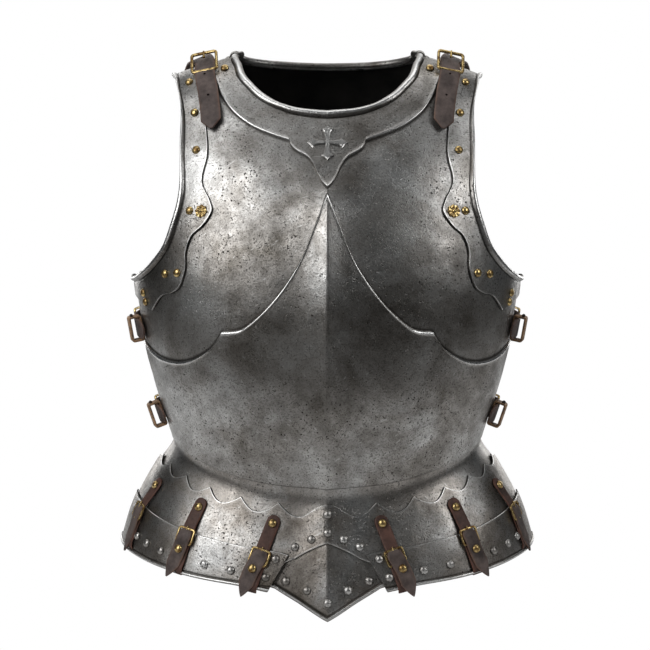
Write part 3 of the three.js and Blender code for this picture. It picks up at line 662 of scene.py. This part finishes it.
back_waist = trace(([(86, waist_level), (180, waist_level)], back_columns))
back_neck = trace((
    [(61, 534.2), (75, 538), (92, 539), (112, 537), (135, 532), (158, 527), (180, 525)],
    back_columns))
side_rows, armhole_rows, shoulder_rows = 34, 56, 18
back_edge = trace(
    ([(86, waist_level), (86, 308), (94, 310)], side_rows),
    ([(94, 310), (102, 314), (113, 322), (124, 336), (131.5, 356), (136, 385), (136.8, 420),
      (134.5, 455), (129.5, 489), (122, 505), (112, 513), (103, 517.5)], armhole_rows),
    ([(103, 517.5), (90, 517.5), (78, 514), (65, 513), (57, 518), (58, 526), (61, 534.2)],
     shoulder_rows),
)
last = len(back_edge) - 1
lines = []
for k in range(last + 1):
    line = back_waist + (back_neck - back_waist) * (k / last)
    share = np.arange(back_columns + 1) / back_columns
    weight = np.stack([(1 - share) ** 1.5, np.cos(share * pi / 2)], axis=1)
    lines.append(line + (back_edge[k] - line[0]) * weight)
rows = [plate_row(lines[0], back_height - 0.4, 0.8, 0.4)]
rows += [plate_row(line, back_height) for line in lines[1:-2]]
rows += bead_rows(lines[-1], lines[-6], neck_bead, back_height, 11)
turned_rows = []
neck_bead_rows, neck_lift = 14, 3.2
towards, keep, bead_turns = 12, 4, 9  # columns that aim the bead, that it replaces, that it has
nearness = np.clip(1 - np.arange(back_columns + 1) / 16, 0, 1) ** 2
for k, (points, height, thick, wear_and_painted_light) in enumerate(rows):
    if k >= len(rows) - neck_bead_rows:
        height = height + neck_lift * nearness
    rise = min(max((k - side_rows) / 3, 0), max((side_rows + armhole_rows - k) / 3, 0), 1)
    heights = np.full(len(points), height, dtype=float)
    thicks = np.full(len(points), thick, dtype=float)
    wear_and_light_marks = np.full(len(points), wear_and_painted_light, dtype=float)
    ends, end_heights, end_thicks, end_painted_light = [], [], [], []
    # The armhole bead gets a painted highlight on its crest, painted shade on its sides, and a
    # groove of painted shade.
    inward = points[towards:towards + 1]
    for j in range(bead_turns):
        turn = pi - radians(16) - (pi - radians(32)) * j / (bead_turns - 1)
        extra = max(arm_bead * sin(turn) - thick / 2, 0) * rise
        ends.append(shifted(points[:1], inward, arm_bead * cos(turn) + arm_bead)[0])
        end_heights.append(heights[0] + extra)
        end_thicks.append(thick + 2 * extra)
        end_painted_light.append((1.5 * sin(turn) ** 4 - 0.6) * rise)
    ends.append(shifted(points[:1], inward, 2 * arm_bead + 0.7)[0])
    end_heights.append(heights[0] - 0.3 * rise)
    end_thicks.append(thick)
    end_painted_light.append(-0.9 * rise)
    points = np.concatenate([ends, points[keep:]])
    heights = np.concatenate([end_heights, heights[keep:]])
    thicks = np.concatenate([end_thicks, thicks[keep:]])
    wear_and_light_marks = np.concatenate([end_painted_light, wear_and_light_marks[keep:]])
    mirror = slice(-2, None, -1)
    turned_rows.append(plate_row(
        round_back(points),
        np.concatenate([heights, heights[mirror]]),
        np.concatenate([thicks, thicks[mirror]]),
        np.concatenate([wear_and_light_marks, wear_and_light_marks[mirror]])))
back_plate = plate_piece("back_plate_steel", turned_rows, [plate_steel, inner_black_and_shade], True, 32)
fasten(back_plate, "back_plate")

# ---- arm bands ----
# Steel bands riveted along the armholes, cut in hollows and lobes on the inner edge, with the
# rolled armhole edge on the outer one.

band_height = 2.4
band_scale = 7
band_outer = trace((
    [(78, 513.5), (64, 507), (52, 487), (47.5, 450), (45.4, 417), (45.7, 396), (48, 375),
     (51, 356), (55.5, 343), (62, 331), (70, 322.5), (79, 317.5), (88, 315.5)], 20 * band_scale))
band_inner = trace(
    ([(66, 521), (50, 508), (41, 488), (37.3, 461.5), (35.8, 441), (37, 417), (33.6, 400),
      (32.6, 389), (35.6, 376), (39.6, 366), (41.6, 351), (41.8, 334), (44.5, 318),
      (48.4, 311), (54, 307), (61.7, 291)], 17 * band_scale),
    ([(61.7, 291), (74, 297), (88, 301)], 3 * band_scale),
)


# The rows of a cut edge: distance from the line, change of height, thickness and painted light
# of each (highlight above 0, shade below 0).
def cut_edge(line, inside, height, table):
    return [
        plate_row(shifted(line, inside, distance), height + change, thick, wear_and_painted_light)
        for distance, change, thick, wear_and_painted_light in table
    ]


# The inner edge is painted in shade at its very rim and with a highlight just inside.
rows = cut_edge(band_inner, band_outer, band_height, (
    (0, -1.1, 0.5, -1.0), (0.45, -0.45, 1.15, -1.0), (0.85, 0, 1.6, 0.9), (1.6, 0, 1.6, 0.2)))
last_line = shifted(band_outer, band_inner, arm_bead + 3.6)
first_line = shifted(band_inner, band_outer, 2.0)
rows += spread(first_line, last_line, 13, band_height)
rows += bead_rows(band_outer, band_inner, arm_bead, band_height, 9)


def mirrored_copy(piece, name):
    twin = piece.copy()
    twin.data = piece.data.copy()
    twin.name = name
    bpy.context.collection.objects.link(twin)
    twin.data.transform(Matrix.Scale(-1, 4, (1, 0, 0)))
    twin.data.flip_normals()
    return twin


# The left piece is copied before either is fastened, or it would stand for the right node too.
def plate_pair(name, node, rows, material):
    right = plate_piece(name + "_right", rows, [material])
    left = mirrored_copy(right, name + "_left")
    fasten(right, node + "_right")
    fasten(left, node + "_left")


plate_pair("arm_band_steel", "arm_band", rows, plate_steel)

# ---- front of the fauld ----
# A waist lame, a lame with a scalloped upper edge, two lower lames with a rolled lower edge,
# and a pointed centre plate between them, all of steel, held by rivets.

fauld_steel = aged_steel("fauld_steel", 0.85, 1.08)
fauld_end = 90.5
fauld_columns = 96
waist_low = trace(([(0, 128), (26, 127), (45, 118), (fauld_end, 116)], fauld_columns))
waist_high = trace(([(0, waist_level + 12), (fauld_end, waist_level + 12)], fauld_columns))
# The waist lame is painted a little lighter all over, a slight painted highlight.
rows = spread(waist_low, waist_high, 25, -0.8, wear_and_painted_light=0.1)
waist_lame = plate_piece("waist_lame_steel", in_full(rows), [fauld_steel])
fasten(waist_lame, "waist_lame")

first_valley = 7.7
scallop_width = 13.85


def scallop_level(angle):
    valley = 135.5 - angle * 0.02
    point = 147 - angle * 0.1
    rounded = valley + (point - valley) * (1 + np.cos(np.pi * angle / first_valley)) / 2
    along = (angle - first_valley) / scallop_width + 0.5
    hollow = point - (point - valley) * np.sin(np.pi * (along % 1))
    return np.where(angle < first_valley, rounded, hollow)


per_scallop = 16
angles = np.concatenate([
    np.linspace(0, first_valley, 9)[:-1],
    first_valley + np.arange(0, 7 * per_scallop) * scallop_width / per_scallop,
])
angles = angles[angles < 90]
scallop_high = np.stack([angles, scallop_level(angles)], axis=1)
notch = np.array([(0, 114), (5.3, 104.5), (7.7, 99), (14, 90), (26, 87), (fauld_end, 86)], float)
scallop_low = np.stack([angles, np.interp(angles, notch[:, 0], notch[:, 1])], axis=1)
scallop_height = 1.6
# Both cut edges get a painted highlight, and the scalloped upper edge painted shade at its very rim.
rows = cut_edge(scallop_low, scallop_high, scallop_height, (
    (0, -0.45, 0.7, 0.4), (0.6, 0, 1.6, 0.3)))
rows += spread(scallop_low, scallop_high, 13, scallop_height, 0.06, 0.9)
rows += cut_edge(scallop_high, scallop_low, scallop_height, (
    (1.5, 0, 1.6, 0.1), (0.7, 0, 1.5, 1.0), (0.3, -0.3, 1.2, 0.4), (0, -1.0, 0.5, -1.0)))
scalloped_lame = plate_piece("scalloped_lame_steel", in_full(rows), [fauld_steel])
fasten(scalloped_lame, "scalloped_lame")

skirt_bead = 2.4
lower_height = 4.0
lower_steps = 88
lower_high = trace((
    [(9.3, 102), (14, 104), (31, 103.5), (48, 101), (69, 98.5), (fauld_end, 97)], lower_steps))
lower_low = trace((
    [(13.9, 69.5), (24, 70.5), (43, 65), (60, 59.5), (78, 53.5), (fauld_end, 52)], lower_steps))
start = shifted(lower_low, lower_high, skirt_bead + 3.4)
# The upper cut edge gets a painted highlight just inside and painted shade at its rim; the rolled
# edge gets the bead's painted light.
rows = bead_rows(lower_low, lower_high, skirt_bead, lower_height, 9)[::-1]
rows += spread(start, lower_high, 10, lower_height, 0.02, 0.92)
rows += cut_edge(lower_high, lower_low, lower_height, (
    (1.4, 0, 1.6, 0.1), (0.7, 0, 1.5, 0.9), (0.3, -0.3, 1.2, 0.3), (0, -1.0, 0.5, -1.0)))
plate_pair("lower_lame_steel", "lower_lame", rows, fauld_steel)

centre_low = trace(
    ([(0, 46.7), (5.8, 61.3), (12.4, 73.5)], 25),
    ([(12.4, 73.5), (16, 76)], 5),
)
centre_high = trace(([(0, 122), (16, 118)], 30))
start = shifted(centre_low, centre_high, skirt_bead + 3.4)
rows = bead_rows(centre_low, centre_high, skirt_bead, -0.8, 9)[::-1]
rows += spread(start, centre_high, 13, -0.8, 0.02)
centre_plate = plate_piece("centre_plate_steel", in_full(rows), [fauld_steel])
fasten(centre_plate, "centre_plate")

# ---- back of the fauld ----
# Two wide lames, the culet, hang from the back plate. The lower one has a thick flat hem, on
# which the cuirass stands.

culet_end = 86.5
culet_columns = 88
upper_low = trace(([(culet_end, 98), (180, 98)], culet_columns))
upper_high = trace(([(culet_end, waist_level + 9), (180, waist_level + 9)], culet_columns))
rows = [plate_row(upper_low, -7.8 - 0.4, 0.8, 0.3)]
rows += spread(upper_low, upper_high, 15, -7.8, 0.01)
culet_upper = plate_piece("culet_upper_steel", in_full(rows, round_back), [fauld_steel])

level_angle = 132
culet_low = trace(
    ([(culet_end, 53), (104, 30), (119, 10), (level_angle, torso_floor)], 48),
    ([(level_angle, torso_floor), (180, torso_floor)], 40),
)
culet_high = trace(([(culet_end, 112), (180, 112)], culet_columns))
hem_heights = (0.0, 4.2, 5.0, 6.2, 7.0)
hem_outer = (2.4, 2.4, 2.1, 0.4, 0.0)
lines = [culet_low + (0, rise) for rise in hem_heights]
lines += [lines[-1] + (culet_high - lines[-1]) * k / 14 for k in range(1, 15)]
heights = [-3.6 + extra for extra in hem_outer] + [-3.6] * 14
lines = [round_back(line) for line in lines]
outer = np.array([on_torso(line[:, 0], line[:, 1], h) for line, h in zip(lines, heights)])
inner = np.array([on_torso(line[:, 0], line[:, 1], -5.2) for line in lines])
for k, rise in enumerate(hem_heights[:2]):
    level = lines[0][:, 1] - torso_floor + rise
    outer[k, :, 2] = level
    inner[k, :, 2] = level
wear_and_painted_light = np.zeros(outer.shape[:2])
wear_and_painted_light[1:3] = 0.5
culet_lower = wall_piece("culet_lower_steel", outer, inner, wear_and_painted_light, [fauld_steel])
for piece, node in ((culet_upper, "culet_upper"), (culet_lower, "culet_lower")):
    fasten(piece, node)

# ---- steel rivets of the fauld ----
# Round-headed steel rivets hold the lames to the leathers behind them, and the centre plate to
# the notch of the scalloped lame. Each head is a ball cut in half and hammered flatter.

rivet_radius = 0.0041
bpy.ops.mesh.primitive_uv_sphere_add(segments=20, ring_count=14, radius=rivet_radius)
rivet_head = bpy.context.object
rivet_head.name = "rivet_head"
edit_all()
bpy.ops.mesh.bisect(plane_co=(0, 0, 0), plane_no=(0, 0, 1), use_fill=True, clear_inner=True)
bpy.ops.mesh.select_all(action="SELECT")
bpy.ops.transform.resize(value=(1, 1, 0.66))
bpy.ops.object.mode_set(mode="OBJECT")
let_go(50)


# The seat of a fitting on the torso: across, along and out of the plate.
def seat(angle, level, height):
    place, out = spot_and_out(angle, level, height)
    across = Vector((0, 0, 1)).cross(out).normalized()
    along = out.cross(across)
    turn = Matrix((across, along, out)).transposed().to_4x4()
    return Matrix.Translation(place * 0.001) @ turn


def fitted(template, name, material, placed):
    copy = template.copy()
    copy.data = template.data.copy()
    copy.name = name
    bpy.context.collection.objects.link(copy)
    copy.data.transform(placed)
    copy.data.materials.clear()
    copy.data.materials.append(material)
    return copy


rivet_steel = aged_steel("rivet_steel", 1.25, 1.0)
# Angle, level and height of the plate under each rivet.
on_the_middle = ((0, 138.3, 1.6), (0, 122.7, 1.6), (0, 61.8, -0.8))
on_both_sides = (
    (3.6, 116.6, 1.6), (7.8, 109.2, 1.6), (4.3, 72.2, -0.8), (9.6, 79.2, -0.8),
    (12.8, 97.1, 4), (15, 80.4, 4), (25.3, 81.2, 4), (34.2, 80, 4), (52, 75, 4),
    (60, 73.2, 4), (67, 72.5, 4),
)
seats = list(on_the_middle)
for angle, level, height in on_both_sides:
    seats += [(angle, level, height), (-angle, level, height)]
for k, (angle, level, height) in enumerate(seats):
    rivet = fitted(rivet_head, "fauld_rivet_%02d" % (k + 1), rivet_steel,
                   seat(angle, level, height - 0.1))
    fasten(rivet)

# ---- brass rivets and rosettes of the arm bands ----
# Cast brass heads with a brown film in patches. The two rosettes are flowers of eight petals
# round a boss.


def old_brass(name):
    cast = Surface(name, 1.0)
    film = cast.texture("Noise", 260.0, Detail=5.0)
    tint = cast.ramp(film, [(0.36, (0.17, 0.095, 0.035)), (0.56, (0.6, 0.45, 0.2))])
    cast.put(tint, cast.shader.inputs["Base Color"])
    rough = cast.ramp(film, [(0.35, (0.5,) * 3), (0.6, (0.26,) * 3)])
    cast.put(rough, cast.shader.inputs["Roughness"])
    cast.bump(film, 0.3, 0.0003)
    return cast.material


brass = old_brass("old_brass")
sides = (("right", 1), ("left", -1))
arm_rivets = (
    ("shoulder", 54.6, 507, 2.4), ("neck", 43.4, 520.5, 1.6), ("upper", 44, 479, 2.4),
    ("middle", 40.5, 444.5, 2.4), ("beside_rosette", 41, 389, 2.4),
    ("underarm_outer", 51, 329, 2.4), ("underarm_inner", 45.2, 331, 2.4),
    ("side_upper", 67, 307, 2.4), ("side_lower", 66, 298.5, 2.4),
)
for name, angle, level, height in arm_rivets:
    for side, sign in sides:
        rivet = fitted(rivet_head, "brass_rivet_%s_%s" % (name, side), brass,
                       seat(sign * angle, level, height - 0.1))
        fasten(rivet, "rivet_%s_%s" % (name, side))

bpy.ops.mesh.primitive_uv_sphere_add(segments=14, ring_count=8, radius=0.001)
petal = bpy.context.object
edit_all()
bpy.ops.transform.resize(value=(2.0, 1.25, 1.1))
bpy.ops.transform.translate(value=(0.0037, 0, 0.0009))
bpy.ops.object.mode_set(mode="OBJECT")
petals = [petal]
for k in range(1, 8):
    leaf = petal.copy()
    leaf.data = petal.data.copy()
    bpy.context.collection.objects.link(leaf)
    leaf.data.transform(Matrix.Rotation(k * pi / 4, 4, "Z"))
    petals.append(leaf)
bpy.ops.mesh.primitive_uv_sphere_add(
    segments=16, ring_count=10, radius=0.0019, location=(0, 0, 0.0012))
petals.append(bpy.context.object)
bpy.ops.mesh.primitive_cylinder_add(
    vertices=32, radius=0.0047, depth=0.0014, location=(0, 0, 0.0006))
petals.append(bpy.context.object)
for leaf in petals:
    leaf.select_set(True)
bpy.context.view_layer.objects.active = petal
bpy.ops.object.join()
let_go(40)
petal.name = "rosette_flower"
petal.data.transform(Matrix.Scale(1.18, 4))
for side, sign in sides:
    flower = fitted(petal, "brass_rosette_" + side, brass, seat(sign * 36.4, 389, 2.4))
    fasten(flower, "rosette_" + side)
bpy.data.objects.remove(petal)

# ---- leather straps ----
# Vegetable-tanned straps, dark brown and worn to red at the edges, cut with a rounded end where
# they are riveted and a point where they hang.


def worn_leather(name, hide_dark, hide_light, rubbed_colour):
    leather = Surface(name)
    leather.shader.inputs["Specular IOR Level"].default_value = 0.4
    stain = leather.texture("Noise", 70.0, Detail=5.0, Roughness=0.65)
    grain = leather.texture("Noise", 900.0, Detail=4.0, Roughness=0.65)
    rubs = leather.texture("Noise", 150.0, Detail=3.0, Roughness=0.65)
    creases = leather.texture("Voronoi", 700.0, feature="DISTANCE_TO_EDGE")
    hide = leather.ramp(stain, [(0.34, hide_dark), (0.68, hide_light)])
    patchy = leather.ramp(rubs, [(0.35, (0.25,) * 3), (0.6, white)])
    rubbed = leather.math("MULTIPLY", leather.wear_and_painted_light(), patchy)
    leather.put(leather.mix(rubbed, hide, rubbed_colour), leather.shader.inputs["Base Color"])
    rough = leather.ramp(grain, [(0.3, (0.72,) * 3), (0.7, (0.5,) * 3)])
    leather.put(rough, leather.shader.inputs["Roughness"])
    leather.bump(creases, 0.35, 0.0004)
    leather.bump(stain, 0.5, 0.0009)
    return leather.material


brown_leather = worn_leather(
    "brown_leather", (0.035, 0.024, 0.021), (0.13, 0.098, 0.088), (0.15, 0.085, 0.06))
red_leather = worn_leather(
    "red_leather", (0.028, 0.013, 0.009), (0.11, 0.052, 0.038), (0.13, 0.055, 0.035))
keeper_leather = worn_leather(
    "keeper_leather", (0.02, 0.014, 0.011), (0.06, 0.04, 0.03), (0.4, 0.24, 0.13))


# A strap on a path of (angle, level, height of its underside), in millimetres.
def strap_piece(name, path, width, material, end, tip, thick=2.2):
    fine = curve_through(path, 400)
    spots = on_torso(fine[:, 0], fine[:, 1], fine[:, 2])
    run = np.concatenate([[0], np.cumsum(np.linalg.norm(np.diff(spots, axis=0), axis=1))])
    total = run[-1]
    near = (1 - np.cos(np.linspace(0, pi / 2, 12))) * width / 2
    stops = np.concatenate([near, np.linspace(width / 2, total - tip, 44)[1:],
                            total - tip + tip * np.sin(np.linspace(0, pi / 2, 14))[1:]])
    route = np.stack([np.interp(stops, run, fine[:, k]) for k in range(3)], axis=1)
    place = on_torso(route[:, 0], route[:, 1], route[:, 2])
    along = np.gradient(place, stops, axis=0)
    along /= np.linalg.norm(along, axis=1, keepdims=True)
    across = np.cross(along, torso_out(route[:, 0], route[:, 1]))
    across /= np.linalg.norm(across, axis=1, keepdims=True)
    out = np.cross(across, along)
    inside = np.clip(1 - stops / (width / 2), 0, 1)
    half = width / 2 * np.sqrt(np.maximum(1 - inside ** 2, 0.004))
    left = np.clip((total - stops) / tip, 0, 1)
    if end == "spear":
        half = half * np.maximum(left ** 0.72, 0.08)
    elif end == "clipped":
        half = half * np.maximum(0.16 + 0.84 * np.clip(left * 1.15, 0, 1), 0.05)
    elif end == "round":
        half = half * np.sqrt(np.maximum(1 - (1 - left) ** 2, 0.004))
    shares = np.array([-1, -0.985, -0.94, -0.86, -0.6, -0.3, 0, 0.3, 0.6, 0.86, 0.94, 0.985, 1])
    round_off = np.clip((np.abs(shares) - 0.8) / 0.2, 0, 1) ** 2
    middle = place[:, None] + across[:, None] * (half[:, None] * shares)[..., None]
    outer = middle + out[:, None] * (thick * (1 - 0.34 * round_off))[None, :, None]
    inner = middle + out[:, None] * (thick * 0.3 * round_off)[None, :, None]
    wear_and_painted_light = np.broadcast_to(np.clip((np.abs(shares) - 0.84) / 0.12, 0, 1), outer.shape[:2]).copy()
    wear_and_painted_light[-3:] = 0.6
    return wall_piece(name, outer, inner, wear_and_painted_light, [material], smooth=50), place, out


def on_side(path, sign):
    return [(sign * angle, level, height) for angle, level, height in path]


def strap_pair(node, name, path, width, material, **shape):
    for side, sign in sides:
        piece = strap_piece(
            "%s_%s" % (name, side), on_side(path, sign), width, material, **shape)[0]
        fasten(piece, "%s_%s" % (node, side))


shoulder_path = [(128, 508, 0.5), (108, 522, 3.4), (84, 526.5, 3.4), (68, 525, 5.4), (57, 521, 5),
                 (47, 511.5, 4.4), (40.5, 498, 4.4), (37, 482, 4.4), (35, 463.5, 4.6)]
for side, sign in sides:
    strap, place, out = strap_piece(
        "shoulder_strap_leather_" + side, on_side(shoulder_path, sign), 20, brown_leather,
        end="clipped", tip=10)
    for k in (-22, -30, -39):
        bpy.ops.mesh.primitive_cylinder_add(vertices=20, radius=0.0013, depth=0.012)
        punch = bpy.context.object
        punch.location = Vector(place[k]) * 0.001
        punch.rotation_euler = Vector(out[k]).to_track_quat("Z", "Y").to_euler()
        cut = strap.modifiers.new("strap_hole", "BOOLEAN")
        cut.operation = "DIFFERENCE"
        cut.object = punch
        bpy.context.view_layer.update()
        bpy.context.view_layer.objects.active = strap
        bpy.ops.object.modifier_apply(modifier=cut.name)
        bpy.data.objects.remove(punch)
    bpy.ops.object.select_all(action="DESELECT")
    fasten(strap, "shoulder_strap_" + side)

side_upper_path = [(74, 268, 1.6), (82, 269, 5.2), (92, 270, 4), (104, 270, 2.4), (118, 270, 0.6)]
side_lower_path = [(74, 186, 2.6), (82, 185, 6.6), (92, 184, 5), (104, 183, 2.6), (118, 183, 0.6)]
for node, path in (("side_strap_upper", side_upper_path), ("side_strap_lower", side_lower_path)):
    strap_pair(node, node + "_leather", path, 20, brown_leather, end="round", tip=10)

# Each fauld strap is a riveted tab, a pointed end over its buckle, and the layer under that.
fauld_straps = (
    ("inner", [(14.5, 134, 2.2), (15.7, 119, 2.8), (16.8, 103, 4.6), (17.3, 96, 4.8)],
     [(16.6, 103.5, 6.0), (17.2, 97, 8.6), (18.9, 85, 7.4), (20, 73, 7), (21, 60.5, 7.4)],
     [(16.8, 100, 4.5), (17.6, 88, 4.6), (18.3, 78, 5.4), (18.8, 71, 5.6), (19, 66.5, 2.5)]),
    ("middle", [(42.2, 132, 2.2), (42.6, 118, 2.8), (42.9, 103, 4.6), (43, 96, 4.8)],
     [(42.5, 103.5, 6.0), (42.9, 97, 8.6), (43.7, 84, 7.4), (44.8, 71, 7), (46.2, 57.5, 7.4)],
     [(42.7, 100, 4.5), (43, 87, 4.6), (43.2, 76, 5.4), (43.5, 68, 5.6), (43.6, 63.5, 2.5)]),
    ("outer", [(68.4, 126, 2.2), (69.6, 113, 2.8), (70.6, 98, 4.6), (70.9, 91, 4.8)],
     [(70.2, 98, 5.6), (70.6, 91.5, 7.4), (71.3, 78, 5.8), (72, 66, 5.4), (72.6, 52, 5.6)],
     [(70.6, 95, 4.2), (70.8, 82, 4.2), (70.8, 71, 4.6), (70.8, 62, 5.0), (70.8, 57, 2.2)]),
)
for name, tab, tip, under in fauld_straps:
    node = "fauld_strap_" + name
    strap_pair(node, node + "_tab", tab, 13, red_leather, end="square", tip=6, thick=2.0)
    strap_pair(node, node + "_end", tip, 15.2, brown_leather, end="spear", tip=14, thick=1.8)
    strap_pair(node, node + "_under", under, 13.5, red_leather, end="square", tip=5, thick=1.6)

# ---- buckles ----
# Cast brass frames with bevelled bars and a tongue, one on each strap.


# A rectangular ring with rounded corners, standing up from the XY plane.
def rounded_ring(name, wide, long, wall, corner, depth):
    bpy.ops.mesh.primitive_plane_add(size=1)
    ring = bpy.context.object
    ring.name = name
    edit_all()
    bpy.ops.transform.resize(value=(wide, long, 1))
    bpy.ops.mesh.bevel(offset=corner, segments=5, affect="VERTICES")
    bpy.ops.mesh.select_all(action="SELECT")
    bpy.ops.mesh.inset(thickness=wall)
    bpy.ops.mesh.delete(type="FACE")
    bpy.ops.mesh.select_all(action="SELECT")
    bpy.ops.mesh.extrude_region_move(TRANSFORM_OT_translate={"value": (0, 0, depth)})
    bpy.ops.mesh.select_all(action="SELECT")
    bpy.ops.mesh.normals_make_consistent(inside=False)
    bpy.ops.object.mode_set(mode="OBJECT")
    edge = ring.modifiers.new("rounded_edges", "BEVEL")
    edge.width = wall * 0.3
    edge.segments = 3
    edge.limit_method = "ANGLE"
    edge.angle_limit = radians(50)
    bpy.ops.object.modifier_apply(modifier=edge.name)
    return ring


def buckle_frame(name, wide, long, bar, corner, tongue_share=1.0):
    frame_piece = rounded_ring(name, wide, long, bar, corner, bar)
    bpy.ops.mesh.primitive_cylinder_add(
        vertices=14, radius=bar * 0.45, depth=long + 0.002, location=(0, 0.0006, bar * 1.15),
        rotation=(pi / 2, 0, 0))
    tongue = bpy.context.object
    bpy.ops.object.transform_apply(location=True, rotation=True, scale=True)
    edit_all()
    bpy.ops.mesh.bevel(offset=bar * 0.15, segments=2, affect="EDGES")
    bpy.ops.object.mode_set(mode="OBJECT")
    for vertex in tongue.data.vertices:
        share = (vertex.co.y + long / 2) / long
        vertex.co.x *= 1.1 - 0.4 * share
        vertex.co.z -= 0.35 * bar * (2 * share - 1) ** 2
        vertex.co.y = long / 2 - (long / 2 - vertex.co.y) * tongue_share
    frame_piece.select_set(True)
    bpy.context.view_layer.objects.active = frame_piece
    bpy.ops.object.join()
    let_go(40)
    return frame_piece


def buckle_seat(path, share, height, tilt=0):
    percent = curve_through(path, 100) + (0, 0, height)
    here, out = spot_and_out(*percent[int(share * 100)])
    there = spot_and_out(*percent[min(int(share * 100) + 3, 100)])[0]
    along = (here - there).normalized()
    across = along.cross(out).normalized()
    out = across.cross(along)
    leaning = Matrix((across, along, out)).transposed() @ Matrix.Rotation(radians(tilt), 3, "X")
    return Matrix.Translation(here * 0.001) @ leaning.to_4x4()


# Node, path, share of the way along it, height, lean in degrees, and the sizes of the frame.
buckle_plan = (
    ("shoulder_buckle", shoulder_path, 0.50, 2.4, 16, (0.0275, 0.0245, 0.0028, 0.004, 0.3)),
    ("side_buckle_upper", side_upper_path, 0.62, 2.5, 0, (0.026, 0.020, 0.0022, 0.0036)),
    ("side_buckle_lower", side_lower_path, 0.62, 2.5, 0, (0.025, 0.019, 0.0022, 0.0036)),
) + tuple(
    ("fauld_buckle_" + name, tab, 0.9, 1.4, 0, (0.0195, 0.0165, 0.0021, 0.003))
    for name, tab, tip, under in fauld_straps
)
for node, path, share, height, tilt, size in buckle_plan:
    template = buckle_frame(node + "_frame", *size)
    for side, sign in sides:
        placed = buckle_seat(on_side(path, sign), share, height, tilt)
        buckle = fitted(template, "%s_brass_%s" % (node, side), brass, placed)
        fasten(buckle, "%s_%s" % (node, side))
    bpy.data.objects.remove(template)

# ---- keeper loops ----
# A stiff loop of leather round each side strap, its cut edges worn pale, with a small knot of
# thread on top.

keeper_tall, keeper_deep, keeper_long, keeper_wall = 0.026, 0.013, 0.011, 0.0022
keeper_sunk = 0.0035
keeper_share = 0.2
loop = rounded_ring("keeper_loop", keeper_tall, keeper_deep, keeper_wall, 0.0026, keeper_long)
for vertex in loop.data.vertices:
    vertex.co.y += keeper_deep / 2 - keeper_sunk
    vertex.co.z -= keeper_long / 2
    bulge = 0.0012 * (1 - (vertex.co.z * 2 / keeper_long) ** 2)
    vertex.co.x *= 1 - bulge / keeper_tall
let_go(40)
worn = loop.data.attributes.new("wear_and_painted_light", "FLOAT", "POINT")
for vertex, mark in zip(loop.data.vertices, worn.data):
    mark.value = 0.9 if abs(vertex.co.z) > keeper_long / 2 - 0.0008 else 0.0
lying = Matrix.Rotation(radians(90), 4, "X")
for node, path in (("side_keeper_upper", side_upper_path), ("side_keeper_lower", side_lower_path)):
    for side, sign in sides:
        place = buckle_seat(on_side(path, sign), keeper_share, 0)
        keeper = fitted(loop, "%s_leather_%s" % (node, side), keeper_leather, place @ lying)
        up = 1 if place.col[0].z > 0 else -1
        bpy.ops.mesh.primitive_uv_sphere_add(segments=16, ring_count=10, radius=0.0018)
        knot = bpy.context.object
        knot.name = "%s_knot_%s" % (node, side)
        knot.data.transform(Matrix.Translation(
            place @ Vector((up * (keeper_tall / 2 + 0.0008), 0.002, keeper_deep * 0.45))))
        bpy.ops.object.shade_smooth()
        bpy.ops.object.select_all(action="DESELECT")
        knot.data.materials.append(keeper_leather)
        for piece in (keeper, knot):
            fasten(piece, "%s_%s" % (node, side))
bpy.data.objects.remove(loop)

# ---- brass rivets of the straps ----
# Each fauld strap is held by a rivet at its rounded end, the inner and middle ones also by one below
# the buckle.

strap_rivets = (
    (15.1, 127, 4.6), (18.7, 86.5, 9.4), (42.3, 124, 4.6), (43.6, 85, 9.4), (69, 119, 4.6),
)
for k, (angle, level, height) in enumerate(strap_rivets):
    for side, sign in sides:
        rivet = fitted(rivet_head, "strap_rivet_%d_%s" % (k + 1, side), brass,
                       seat(sign * angle, level, height))
        fasten(rivet)
bpy.data.objects.remove(rivet_head)
